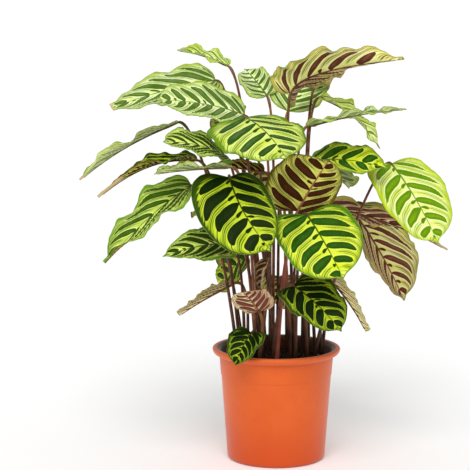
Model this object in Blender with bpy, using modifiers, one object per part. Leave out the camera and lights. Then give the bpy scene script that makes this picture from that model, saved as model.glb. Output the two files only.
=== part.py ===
"""Potted peacock plant: a plastic nursery pot, its soil, shoots with their leaf stalks, and leaf blades.

Sizes are millimetres in the tables below and metres in Blender. The origin is the middle of the pot's
underside, +Z is up, and the side that the plant turns to the viewer is -Y.
"""

import math

import bmesh
import bpy
from mathutils import Vector, noise

MM = 0.001

# Driving dimensions of the pot
POT_HEIGHT = 150.0
RIM_RADIUS = 85.0
RIM_TOP_WIDTH = 5.0
RIM_ROUNDING = 2.4
RIM_ROLL_DEPTH = 7.0
MOUTH_FLARE_DEPTH = 6.0
BODY_TOP_RADIUS = 76.6
BODY_FOOT_RADIUS = 66.0
FOOT_ROUNDING = 6.0
WALL = 1.7
STEP_HEIGHT = 114.0
STEP_IN = 0.7
STEP_SLOPE = 0.6
POT_SIDES = 40
DRAIN_COUNT = 6
DRAIN_RADIUS = 4.5
DRAIN_RING = 44.0
DRAIN_SIDES = 12

# Driving dimensions of the soil
SOIL_TOP = 132.0
SOIL_CORNER = 8.0
SOIL_FOOT_IN = 6.0
SOIL_RELIEF = 1.6
SOIL_LUMPS = 0.035
SOIL_GRAIN = 0.11
SOIL_SIDES = 32
SOIL_RINGS = 5
CLEARANCE = 0.3

# Driving dimensions of the shoots and stalks
SHOOT_RADIUS = 9.5
SHOOT_DEPTH = 16.0
SHOOT_RISE = 7.0
SHOOT_SIDES = 12
STALK_START = 8.0
STALK_STAGGER = 0.7
STALK_INSET = 1.8
STALK_FOOT_RADIUS = 2.5
STALK_NECK_RADIUS = 1.7
STALK_STEPS = (0.0, 0.22, 0.44, 0.64, 0.8, 0.91, 0.975, 1.0)
STALK_LEAN = 0.34
STALK_SPREAD = 0.12
STALK_HOOK = 30.0
STALK_HOOK_SHARE = 0.4
STALK_GAP = 0.4
THICK_STALKS = {"leaf_19_upright_back_side": 1.7}

# Driving dimensions of the blades
BLADE_THICKNESS = 0.8
BLADE_STEPS = 10
BLADE_STRIPS = 4
END_CROWDING = 0.5
NECK_HALF_WIDTH = 2.2
TIP_HALF_WIDTH = 0.9
OUTLINE_POWER = 2.3
OUTLINE_SHIFT = 0.88
LOBE = 0.22
WAVES = 2.6
WAVE_TURN_PER_LEAF = 2.4
WAVE_TURN_OF_RIGHT_HALF = 1.9

# Shoots: where each one stands in the soil (x, y)
SHOOTS = {
    "left_front": (-46, -22),
    "left_middle": (-24, -30),
    "front_left": (-26, -54),
    "front": (-4, -46),
    "front_right": (22, -44),
    "right_front": (42, -28),
    "right": (57, -2),
    "centre": (-2, -20),
    "middle": (21, -12),
    "left_back": (-40, 8),
    "back_left": (-18, 18),
    "right_back": (40, 12),
    "back_right": (20, 30),
    "back": (-2, 40),
}

# Leaves: name, shoot, neck, tip, facing (where the upper face looks),
# width, share of the length where the midrib bends, arch there, fold (degrees that each half rises
# from the midrib), height of the margin's waves, tone
LEAVES = (
    ("leaf_01_top_small", "back_left", (-64, 30, 521), (-131, 50, 540), (0, -0.2, 1),
     42, 0.5, 8, 15, 4, "pale"),
    ("leaf_02_upper_left_back", "back_left", (-80, 12, 503), (-213, -55, 472), (-0.1, -0.75, 0.65),
     72, 0.45, 12, 10, 4, "pale"),
    ("leaf_03_upper_left_front", "centre", (-42, -25, 460), (-155, -85, 484), (0.1, -0.6, 0.8),
     84, 0.5, 14, 8, 3, "pale"),
    ("leaf_04_top_back", "back", (-12, 64, 479), (-42, 118, 512), (0, -0.8, 0.6),
     46, 0.5, 8, 5, 4, "pale"),
    ("leaf_05_top_right", "middle", (17, 0, 486), (161, -40, 533), (-0.3, 0.58, 0.75),
     96, 0.1, 34, 12, 5, "bright"),
    ("leaf_06_top_middle_back", "back_right", (16, 58, 459), (52, 128, 516), (0, -0.7, 0.7),
     80, 0.5, 10, 10, 4, "pale"),
    ("leaf_07_right_drooping", "right_back", (59, 34, 479), (137, 20, 412), (0.55, -0.2, 0.75),
     56, 0.45, 20, 10, 5, "lime"),
    ("leaf_08_right_edge_on", "right_front", (38, -48, 448), (162, -80, 472), (0, 0.1, 1),
     68, 0.5, 8, 5, 6, "pale"),
    ("leaf_09_centre", "centre", (-42, -90, 463), (8, -166, 418), (0.25, -0.7, 0.7),
     122, 0.5, 16, -10, 3, "lime"),
    ("leaf_10_far_left_drooping", "left_back", (-130, 0, 449), (-256, -30, 376), (-0.45, 0.1, 0.9),
     58, 0.5, 14, 10, 5, "pale"),
    ("leaf_11_left_drooping", "left_front", (-103, -30, 402), (-230, -60, 357), (-0.35, -0.2, 0.9),
     54, 0.4, 32, 20, 4, "dark"),
    ("leaf_12_left_striped", "left_middle", (-68, -75, 413), (-144, -134, 436), (0.1, -0.5, 0.85),
     64, 0.5, 12, 8, 3, "bright"),
    ("leaf_13_left_edge_on", "left_middle", (-60, -82, 399), (-156, -120, 394), (0, 0.1, 1),
     54, 0.5, 4, 8, 4, "pale"),
    ("leaf_14_behind_front", "middle", (-18, -42, 388), (-82, -44, 396), (0, 0.4, 0.9),
     30, 0.5, 4, 35, 2, "dark"),
    ("leaf_15_front_dark", "left_middle", (-62, -95, 388), (-10, -160, 303), (0, -0.85, 0.5),
     95, 0.5, 18, 6, 2, "dark"),
    ("leaf_16_front_bright", "front_right", (36, -95, 340), (80, -145, 266), (0, -0.85, 0.5),
     102, 0.5, 16, 6, 3, "bright"),
    ("leaf_17_right_pale", "right_front", (149, -14, 396), (205, -74, 300), (0.2, -0.85, 0.5),
     90, 0.5, 18, 6, 3, "lime"),
    ("leaf_18_right_green", "right_front", (44, -14, 400), (139, -66, 396), (0, -0.6, 0.8),
     62, 0.5, 14, 8, 3, "bright"),
    ("leaf_19_upright_back_side", "front", (25, -60, 339), (64, -95, 410), (0, 0.9, 0.4),
     92, 0.5, 8, 5, 3, "dark"),
    ("leaf_20_low_right", "right", (106, 76, 322), (178, 88, 196), (0.3, 0.8, 0.5),
     84, 0.5, 16, 8, 4, "bright"),
    ("leaf_21_right_folded", "right", (57, 22, 337), (229, 30, 275), (-0.1, 0.5, 0.85),
     66, 0.5, 20, 10, 5, "dark"),
    ("leaf_22_left_wavy", "left_front", (-110, -60, 373), (-219, -110, 280), (-0.4, -0.45, 0.7),
     86, 0.4, 14, 12, 5, "bright"),
    ("leaf_23_left_lower", "left_front", (-62, -50, 296), (-146, -114, 289), (0, -0.8, 0.6),
     66, 0.5, 16, 8, 3, "bright"),
    ("leaf_24_between_stalks", "back_left", (-38, 32, 268), (-78, 72, 216), (-0.3, -0.7, 0.6),
     56, 0.5, 10, 8, 4, "lime"),
    ("leaf_25_low_rolled", "left_back", (-57, -7, 236), (-128, -22, 196), (-0.3, 0.5, 0.8),
     27, 0.5, 4, 40, 2, "dry"),
    ("leaf_26_low_small", "front_left", (-24, -78, 212), (-45, -128, 246), (0, 0.8, 0.6),
     54, 0.5, 6, 8, 2, "dry"),
    ("leaf_27_over_rim", "front_left", (-33, -66, 182), (-54, -93, 144), (-0.2, -0.6, 0.7),
     56, 0.5, 12, 8, 2, "dark"),
    ("leaf_28_low_right_dark", "front", (20, -76, 245), (79, -130, 196), (0.1, -0.7, 0.7),
     76, 0.5, 14, 10, 4, "dark"),
    ("leaf_29_low_right_rolled", "right", (70, 4, 242), (118, -14, 173), (0.5, 0.5, 0.6),
     30, 0.5, 8, 40, 2, "dry"),
    ("leaf_30_between_folded", "front_left", (-13, -62, 276), (-20, -78, 238), (-0.6, -0.6, 0.4),
     28, 0.5, 6, 35, 2, "dry"),
    ("leaf_31_back_top", "back", (-20, 68, 436), (-78, 152, 420), (-0.1, 0.3, 1),
     82, 0.5, 20, 8, 4, "bright"),
    ("leaf_32_back_right_top", "back_right", (34, 62, 390), (104, 148, 344), (0.5, 0.4, 0.8),
     84, 0.5, 22, 8, 4, "lime"),
    ("leaf_33_back_middle", "back", (4, 66, 370), (-8, 182, 308), (0.15, 0.4, 0.9),
     82, 0.45, 34, 8, 4, "dark"),
    ("leaf_34_back_left", "back_left", (-46, 54, 332), (-106, 136, 308), (-0.5, 0.1, 0.8),
     78, 0.5, 16, 8, 4, "bright"),
    ("leaf_35_back_right", "right_back", (58, 58, 330), (124, 146, 288), (0.2, 0.3, 0.9),
     80, 0.5, 24, 8, 4, "dark"),
    ("leaf_36_back_low_left", "back", (-24, 58, 290), (-62, 140, 224), (-0.5, 0.5, 0.7),
     72, 0.45, 24, 8, 4, "bright"),
    ("leaf_37_back_low_right", "back_right", (36, 60, 280), (84, 136, 238), (0.3, 0.3, 0.9),
     72, 0.5, 20, 8, 4, "bright"),
    ("leaf_38_back_low", "back", (8, 60, 234), (14, 142, 174), (0, 0.6, 0.8),
     64, 0.5, 20, 8, 4, "dark"),
    ("leaf_39_back_upper_left", "back_left", (-62, 62, 462), (-130, 150, 452), (0.1, 0.3, 1),
     78, 0.5, 24, 8, 4, "bright"),
    ("leaf_40_back_top_right", "right_back", (54, 62, 497), (120, 132, 520), (0, 0.1, 1),
     60, 0.5, 12, 8, 4, "lime"),
)

# Uneven blades: how much wider the left half is (seen from above, tip up), how much the blade narrows
# towards its tip, how far the midrib bends to the left, and how far the base reaches back, left and right
UNEVEN_BLADES = {
    "leaf_01_top_small": (0.0, 0.25, 0.0, 0.1, 0.1),
    "leaf_02_upper_left_back": (0.0, 0.4, 0.0, 0.22, 0.22),
    "leaf_03_upper_left_front": (0.0, 0.2, 0.0, 0.22, 0.22),
    "leaf_05_top_right": (0.0, 0.3, 0.0, 0.33, 0.33),
    "leaf_06_top_middle_back": (0.0, 0.0, 0.0, 0.05, 0.05),
    "leaf_08_right_edge_on": (0.0, 0.35, 0.0, 0.1, 0.1),
    "leaf_09_centre": (0.05, 0.05, 0.0, 0.36, 0.16),
    "leaf_10_far_left_drooping": (0.0, 0.5, 0.0, 0.1, 0.1),
    "leaf_11_left_drooping": (0.0, 0.8, 0.0, 0.1, 0.1),
    "leaf_15_front_dark": (0.18, 0.0, 16.0, 0.36, 0.16),
    "leaf_16_front_bright": (0.04, 0.0, 0.0, 0.4, 0.08),
    "leaf_17_right_pale": (-0.02, 0.0, 0.0, 0.42, 0.08),
    "leaf_19_upright_back_side": (0.2, 0.0, 0.0, 0.3, 0.12),
    "leaf_20_low_right": (0.3, 0.15, 0.0, 0.2, 0.2),
    "leaf_21_right_folded": (0.0, 0.7, 0.0, 0.1, 0.1),
    "leaf_22_left_wavy": (0.12, 0.45, 0.0, 0.2, 0.1),
    "leaf_23_left_lower": (0.0, 0.5, 0.0, 0.2, 0.2),
    "leaf_25_low_rolled": (0.0, 0.3, 0.0, 0.1, 0.1),
    "leaf_27_over_rim": (0.0, 0.4, 0.0, 0.25, 0.25),
    "leaf_28_low_right_dark": (0.0, 0.15, 0.0, 0.25, 0.25),
    "leaf_29_low_right_rolled": (0.0, 0.3, 0.0, 0.1, 0.1),
}

# Colours (linear RGB) and roughness
COLOURS = {
    "terracotta_plastic": ((0.68, 0.13, 0.035), 0.45),
    "potting_soil": ((0.025, 0.016, 0.01), 0.95),
    "stalk_brown": ((0.13, 0.045, 0.035), 0.5),
    "leaf_dark": ((0.08, 0.2, 0.03), 0.4),
    "leaf_bright": ((0.2, 0.42, 0.04), 0.45),
    "leaf_lime": ((0.42, 0.62, 0.08), 0.45),
    "leaf_pale": ((0.36, 0.52, 0.2), 0.45),
    "leaf_dry": ((0.34, 0.2, 0.12), 0.6),
}


def clear_scene():
    for old in list(bpy.data.objects):
        bpy.data.objects.remove(old, do_unlink=True)


def collection(name):
    made = bpy.data.collections.new(name)
    bpy.context.scene.collection.children.link(made)
    return made


def material(name):
    found = bpy.data.materials.get(name)
    if found:
        return found
    colour, roughness = COLOURS[name]
    made = bpy.data.materials.new(name)
    made.use_nodes = True
    shader = made.node_tree.nodes["Principled BSDF"]
    shader.inputs["Base Color"].default_value = (*colour, 1.0)
    shader.inputs["Roughness"].default_value = roughness
    made.diffuse_color = (*colour, 1.0)
    return made


def add_object(name, mesh, home, slot=None):
    made = bpy.data.objects.new(name, mesh)
    home.objects.link(made)
    if slot:
        made.data.materials.append(material(slot))
    return made


def as_cutter(item):
    item.hide_render = True
    item.display_type = "WIRE"
    return item


def evaluated_mesh(item):
    """A new mesh of the object as its modifiers leave it."""
    bpy.context.view_layer.update()
    graph = bpy.context.evaluated_depsgraph_get()
    return bpy.data.meshes.new_from_object(item.evaluated_get(graph), depsgraph=graph)


def cylinder(name, radius, low, high, sides, place, home):
    """A closed upright cylinder between two heights, in millimetres."""
    form = bmesh.new()
    bmesh.ops.create_cone(
        form,
        cap_ends=True,
        segments=sides,
        radius1=radius * MM,
        radius2=radius * MM,
        depth=(high - low) * MM,
    )
    middle = Vector((place[0], place[1], (low + high) / 2)) * MM
    bmesh.ops.translate(form, verts=form.verts, vec=middle)
    mesh = bpy.data.meshes.new(name)
    form.to_mesh(mesh)
    form.free()
    return add_object(name, mesh, home)


def wall_radius(height):
    """Outer radius of the pot's body at a height, above the step."""
    share = (height - FOOT_ROUNDING) / (POT_HEIGHT - FOOT_ROUNDING)
    return BODY_FOOT_RADIUS + share * (BODY_TOP_RADIUS - BODY_FOOT_RADIUS)


def inner_radius(height):
    return wall_radius(height) - STEP_IN - WALL


def soil_radius(height):
    """Radius that stays clear of the flats of the pot's inner wall."""
    return inner_radius(height) * math.cos(math.pi / POT_SIDES) - CLEARANCE


def arc(centre, radius, first, last, steps):
    """Points of an arc between two angles in degrees, as (radius, height)."""
    points = []
    for step in range(steps + 1):
        turn = math.radians(first + (last - first) * step / steps)
        points.append((centre[0] + radius * math.cos(turn), centre[1] + radius * math.sin(turn)))
    return points


def pot_profile():
    """The pot's half section from the inner floor round the rim to the underside, as (radius, height)."""
    mouth = POT_HEIGHT - MOUTH_FLARE_DEPTH
    brim = RIM_RADIUS - RIM_TOP_WIDTH
    roll_low = POT_HEIGHT - RIM_ROUNDING - RIM_ROLL_DEPTH
    roll_in = RIM_RADIUS - wall_radius(roll_low)
    inner_foot = inner_radius(FOOT_ROUNDING)
    outer_foot = wall_radius(FOOT_ROUNDING) - STEP_IN
    points = [(0.0, WALL), (inner_foot - FOOT_ROUNDING + WALL, WALL), (inner_foot, FOOT_ROUNDING)]
    points.append((inner_radius(mouth), mouth))
    points.append(((inner_radius(mouth) + brim) / 2, mouth + 0.8 * MOUTH_FLARE_DEPTH))
    points.append((brim, POT_HEIGHT))
    points += arc((RIM_RADIUS - RIM_ROUNDING, POT_HEIGHT - RIM_ROUNDING), RIM_ROUNDING, 90, 0, 3)
    for step in (1, 2, 3):
        turn = math.radians(90 * step / 3)
        radius = RIM_RADIUS - roll_in * (1 - math.cos(turn))
        points.append((radius, POT_HEIGHT - RIM_ROUNDING - RIM_ROLL_DEPTH * math.sin(turn)))
    points.append((wall_radius(STEP_HEIGHT), STEP_HEIGHT + STEP_SLOPE))
    points.append((wall_radius(STEP_HEIGHT) - STEP_IN, STEP_HEIGHT))
    points += arc((outer_foot - FOOT_ROUNDING, FOOT_ROUNDING), FOOT_ROUNDING, 0, -90, 3)
    points.append((0.0, 0.0))
    return points


def make_pot(home, tools):
    mesh = bpy.data.meshes.new("pot")
    profile = pot_profile()
    corners = [(radius * MM, 0.0, height * MM) for radius, height in profile]
    edges = [(i, i + 1) for i in range(len(corners) - 1)]
    mesh.from_pydata(corners, edges, [])
    pot = add_object("pot", mesh, home, "terracotta_plastic")
    turn = pot.modifiers.new("turned", "SCREW")
    turn.steps = POT_SIDES
    turn.render_steps = POT_SIDES
    turn.use_merge_vertices = True
    turn.merge_threshold = 0.00001
    turn.use_smooth_shade = False
    for index in range(DRAIN_COUNT):
        angle = math.tau * (index + 0.5) / DRAIN_COUNT
        place = (DRAIN_RING * math.cos(angle), DRAIN_RING * math.sin(angle))
        as_cutter(cylinder(f"drain_{index + 1}", DRAIN_RADIUS, -WALL, 2 * WALL, DRAIN_SIDES, place, tools))
    cut = pot.modifiers.new("drains", "BOOLEAN")
    cut.operation = "DIFFERENCE"
    cut.operand_type = "COLLECTION"
    cut.collection = tools
    cut.solver = "EXACT"
    return pot


def soil_height(x, y):
    """Height of the soil's uneven top at a place, in millimetres."""
    lumps = noise.noise(Vector((x, y, 0)) * SOIL_LUMPS)
    grain = noise.noise(Vector((x, y, 0)) * SOIL_GRAIN)
    return SOIL_TOP + SOIL_RELIEF * (lumps + grain / 2)


def make_soil(home, tools):
    """A plug that fills the pot, with an uneven top and a plain hole for the foot of each shoot."""
    low = WALL + CLEARANCE
    corner = soil_radius(SOIL_CORNER)
    brim = soil_radius(SOIL_TOP)
    form = bmesh.new()
    bmesh.ops.create_cone(
        form,
        cap_ends=True,
        segments=SOIL_SIDES,
        radius1=(corner - SOIL_FOOT_IN) * MM,
        radius2=corner * MM,
        depth=(SOIL_CORNER - low) * MM,
    )
    bmesh.ops.translate(form, verts=form.verts, vec=(0, 0, (SOIL_CORNER + low) / 2 * MM))
    cap = max(form.faces, key=lambda face: face.calc_center_median().z)
    top = bmesh.ops.extrude_discrete_faces(form, faces=[cap])["faces"]
    ring = top[0].verts[:]
    bmesh.ops.scale(form, verts=ring, vec=(brim / corner, brim / corner, 1))
    bmesh.ops.translate(form, verts=ring, vec=(0, 0, (SOIL_TOP - SOIL_CORNER) * MM))
    step = brim / (SOIL_RINGS + 1) * MM
    for _ in range(SOIL_RINGS):
        bmesh.ops.inset_region(form, faces=top, thickness=step, use_even_offset=True)
    bmesh.ops.recalc_face_normals(form, faces=form.faces)
    for vert in form.verts:
        if vert.co.z > (SOIL_TOP - 1) * MM:
            vert.co.z = soil_height(vert.co.x / MM, vert.co.y / MM) * MM
    bmesh.ops.triangulate(form, faces=form.faces)
    mesh = bpy.data.meshes.new("soil")
    form.to_mesh(mesh)
    form.free()
    soil = add_object("soil", mesh, home, "potting_soil")
    for name, place in SHOOTS.items():
        radius = SHOOT_RADIUS + CLEARANCE
        low = SOIL_TOP - SHOOT_DEPTH - CLEARANCE
        high = SOIL_TOP + SHOOT_RISE
        as_cutter(cylinder(f"hole_{name}", radius, low, high, SHOOT_SIDES, place, tools))
    cut = soil.modifiers.new("holes", "BOOLEAN")
    cut.operation = "DIFFERENCE"
    cut.operand_type = "COLLECTION"
    cut.collection = tools
    cut.solver = "EXACT"
    return soil


class Leaf:
    """One row of the table, with the curve of its midrib."""

    def __init__(self, row, number):
        self.name, self.shoot, neck, tip, facing = row[:5]
        self.width, share, arch, fold, self.wave, self.tone = row[5:]
        uneven = UNEVEN_BLADES.get(self.name, (0.0, 0.1, 0.0, LOBE, LOBE))
        self.skew, self.taper, sway, *self.lobes = uneven
        self.neck = Vector(neck)
        self.tip = Vector(tip)
        self.fold = math.radians(fold)
        self.phase = number * WAVE_TURN_PER_LEAF
        chord = self.tip - self.neck
        along = chord.normalized()
        look = Vector(facing).normalized()
        self.look = (look - along * look.dot(along)).normalized()
        self.bend = self.neck + chord * share + self.look * arch + along.cross(self.look) * sway

    def midrib(self, along):
        """Place and direction of the midrib at a share of its length."""
        back = 1 - along
        place = self.neck * back * back + self.bend * 2 * back * along + self.tip * along * along
        way = (self.bend - self.neck) * back + (self.tip - self.bend) * along
        return place, way.normalized()

    def half_width(self, across, along):
        share = along**OUTLINE_SHIFT
        swell = max(0.0, 1 - abs(2 * share - 1) ** OUTLINE_POWER) ** 0.5
        least = NECK_HALF_WIDTH * (1 - along) + TIP_HALF_WIDTH * along
        side = 1 + math.copysign(self.skew, across)
        return max(least, self.width / 2 * swell * side * (1 - self.taper * along))

    def point(self, across, along):
        """A place on the blade, across from -1 to 1 and along from 0 at the neck to 1 at the tip."""
        place, way = self.midrib(along)
        side = way.cross(self.look).normalized()
        up = side.cross(way)
        half = self.half_width(across, along)
        reach = abs(across) * half
        back = max(0.0, half - NECK_HALF_WIDTH) * across * across * (1 - along) ** 3
        place = place - way * (2 * self.lobes[0 if across > 0 else 1] * back)
        turn = math.tau * WAVES * along + self.phase + (WAVE_TURN_OF_RIGHT_HALF if across > 0 else 0.0)
        ripple = self.wave * across * across * math.sin(math.pi * along) ** 0.5 * math.sin(turn)
        out = math.copysign(reach * math.cos(self.fold), across)
        return place + side * out + up * (reach * math.sin(self.fold) + ripple)


def make_blade(leaf, home):
    """The blade as a waved sheet, split into triangles before it gets its thickness."""
    form = bmesh.new()
    bmesh.ops.create_grid(form, x_segments=BLADE_STEPS, y_segments=BLADE_STRIPS, size=1.0)
    for vert in form.verts:
        step = (vert.co.x + 1) / 2
        crowded = (1 - math.cos(math.pi * step)) / 2
        along = step + (crowded - step) * END_CROWDING
        vert.co = leaf.point(vert.co.y, along) * MM
    bmesh.ops.triangulate(form, faces=form.faces, quad_method="BEAUTY")
    mesh = bpy.data.meshes.new(leaf.name)
    form.to_mesh(mesh)
    form.free()
    blade = add_object(leaf.name, mesh, home, "leaf_" + leaf.tone)
    shell = blade.modifiers.new("thickness", "SOLIDIFY")
    shell.thickness = BLADE_THICKNESS * MM
    shell.offset = 0.0
    return blade


def stalk_path(leaf, foot):
    """Points of a leaf stalk from its foot in the shoot to just short of the blade's neck."""
    neck, way = leaf.midrib(0.0)
    end = neck - way * STALK_GAP
    length = (end - foot).length
    out = Vector((end.x - foot.x, end.y - foot.y, 0))
    lift = Vector((0, 0, length * STALK_LEAN)) + out * STALK_SPREAD
    hook = end - way * min(STALK_HOOK, length * STALK_HOOK_SHARE)
    path = []
    for step in STALK_STEPS:
        back = 1 - step
        path.append(
            foot * back**3
            + (foot + lift) * 3 * back * back * step
            + hook * 3 * back * step * step
            + end * step**3
        )
    return path


def foot_radius(leaf):
    return STALK_FOOT_RADIUS * THICK_STALKS.get(leaf.name, 1.0)


def stalk_mesh(leaf, foot, home):
    """A tapered tube along a stalk's path, made a closed mesh."""
    data = bpy.data.curves.new("stalk", "CURVE")
    data.dimensions = "3D"
    data.bevel_depth = MM
    data.bevel_resolution = 1
    data.use_fill_caps = True
    line = data.splines.new("POLY")
    path = stalk_path(leaf, foot)
    line.points.add(len(path) - 1)
    for knot, place, step in zip(line.points, path, STALK_STEPS):
        knot.co = (*(place * MM), 1.0)
        knot.radius = foot_radius(leaf) * (1 - step) + STALK_NECK_RADIUS * step
    curve = bpy.data.objects.new("stalk", data)
    home.objects.link(curve)
    mesh = evaluated_mesh(curve)
    bpy.data.objects.remove(curve, do_unlink=True)
    form = bmesh.new()
    form.from_mesh(mesh)
    bmesh.ops.remove_doubles(form, verts=form.verts, dist=0.00001)
    form.to_mesh(mesh)
    form.free()
    return add_object("stalk_of_" + leaf.name, mesh, home)


def stalk_feet(place, leaves):
    """The leaves of one shoot with their stalks' feet, which share out the ring round the shoot's middle."""
    low = SOIL_TOP - SHOOT_DEPTH + STALK_START
    ways = [math.atan2(leaf.neck.y - place[1], leaf.neck.x - place[0]) for leaf in leaves]
    middle = math.atan2(sum(math.sin(way) for way in ways), sum(math.cos(way) for way in ways))
    turns = [(way - middle + math.pi) % math.tau - math.pi for way in ways]
    ranks = sorted(range(len(leaves)), key=lambda number: turns[number])
    feet = []
    for number, leaf in enumerate(leaves):
        turn = middle + math.tau * (ranks.index(number) - (len(leaves) - 1) / 2) / len(leaves)
        ring = SHOOT_RADIUS - STALK_INSET - foot_radius(leaf)
        place_on_ring = (place[0] + ring * math.cos(turn), place[1] + ring * math.sin(turn))
        feet.append((leaf, Vector((*place_on_ring, low + number * STALK_STAGGER))))
    return feet


def make_shoot(name, place, leaves, home):
    """One shoot: a short round foot with the stalks of its leaves grown out of it, as one body."""
    low = SOIL_TOP - SHOOT_DEPTH
    shoot = cylinder("shoot_" + name, SHOOT_RADIUS, low, SOIL_TOP + SHOOT_RISE, SHOOT_SIDES, place, home)
    shoot.data.materials.append(material("stalk_brown"))
    stalks = collection("stalks_of_" + name)
    for leaf, foot in stalk_feet(place, leaves):
        stalk_mesh(leaf, foot, stalks)
    join = shoot.modifiers.new("stalks", "BOOLEAN")
    join.operation = "UNION"
    join.operand_type = "COLLECTION"
    join.collection = stalks
    join.solver = "EXACT"
    joined = evaluated_mesh(shoot)
    shoot.modifiers.clear()
    shoot.data = joined
    for stalk in list(stalks.objects):
        bpy.data.objects.remove(stalk, do_unlink=True)
    bpy.data.collections.remove(stalks)
    return shoot


def main():
    clear_scene()
    home = collection("potted_peacock_plant")
    drains = collection("drain_cutters")
    holes = collection("hole_cutters")
    make_pot(home, drains)
    make_soil(home, holes)
    leaves = [Leaf(row, number) for number, row in enumerate(LEAVES)]
    for name, place in SHOOTS.items():
        own = [leaf for leaf in leaves if leaf.shoot == name]
        make_shoot(name, place, own, home)
    for leaf in leaves:
        make_blade(leaf, home)


main()
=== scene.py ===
"""Potted peacock plant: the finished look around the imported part.

The leaf table repeats the part's own table, in millimetres, so that each fine blade and stalk keeps the form
and the place of the plain one that it stands for.
"""

import math
from types import SimpleNamespace

import bmesh
import bpy
from bpy.props import FloatProperty, FloatVectorProperty, IntProperty, PointerProperty
from mathutils import Matrix, Vector, noise


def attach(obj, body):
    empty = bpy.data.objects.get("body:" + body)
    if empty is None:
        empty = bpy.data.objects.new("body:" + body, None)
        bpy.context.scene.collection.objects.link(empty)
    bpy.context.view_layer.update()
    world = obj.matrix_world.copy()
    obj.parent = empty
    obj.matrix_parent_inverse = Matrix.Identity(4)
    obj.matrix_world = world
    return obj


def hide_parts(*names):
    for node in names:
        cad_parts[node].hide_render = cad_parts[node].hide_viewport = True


bl_info = {
    "name": "Potted Peacock Plant",
    "version": (1, 0, 0),
    "blender": (4, 5, 0),
    "location": "View3D > Sidebar > Plant",
    "description": "Builds a peacock plant with patterned leaves in a plastic nursery pot",
    "category": "Add Mesh",
}

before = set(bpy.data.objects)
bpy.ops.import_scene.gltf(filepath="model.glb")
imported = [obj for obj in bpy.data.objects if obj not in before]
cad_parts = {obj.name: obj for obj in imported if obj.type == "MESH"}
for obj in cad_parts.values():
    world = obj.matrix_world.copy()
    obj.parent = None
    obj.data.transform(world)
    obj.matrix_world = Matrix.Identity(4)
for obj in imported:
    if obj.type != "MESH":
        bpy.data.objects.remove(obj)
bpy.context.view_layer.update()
BODY = "root"
MM = 0.001

# Driving values of the pot, as in the part
HEIGHT = 0.15
FOOT_ROUNDING = 0.006
FOOT_RADIUS = 0.066
BODY_TOP_RADIUS = 0.0766
STEP_HEIGHT = 0.114
STEP_IN = 0.0007
STEP_SLOPE = 0.0006
RIM_RADIUS = 0.085
RIM_TOP_WIDTH = 0.005
RIM_ROUNDING = 0.0024
RIM_ROLL_DEPTH = 0.007
MOUTH_FLARE_DEPTH = 0.006

# Shoots: where each one stands in the soil (x, y)
SHOOTS = {
    "left_front": (-46, -22),
    "left_middle": (-24, -30),
    "front_left": (-26, -54),
    "front": (-4, -46),
    "front_right": (22, -44),
    "right_front": (42, -28),
    "right": (57, -2),
    "centre": (-2, -20),
    "middle": (21, -12),
    "left_back": (-40, 8),
    "back_left": (-18, 18),
    "right_back": (40, 12),
    "back_right": (20, 30),
    "back": (-2, 40),
}

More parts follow.
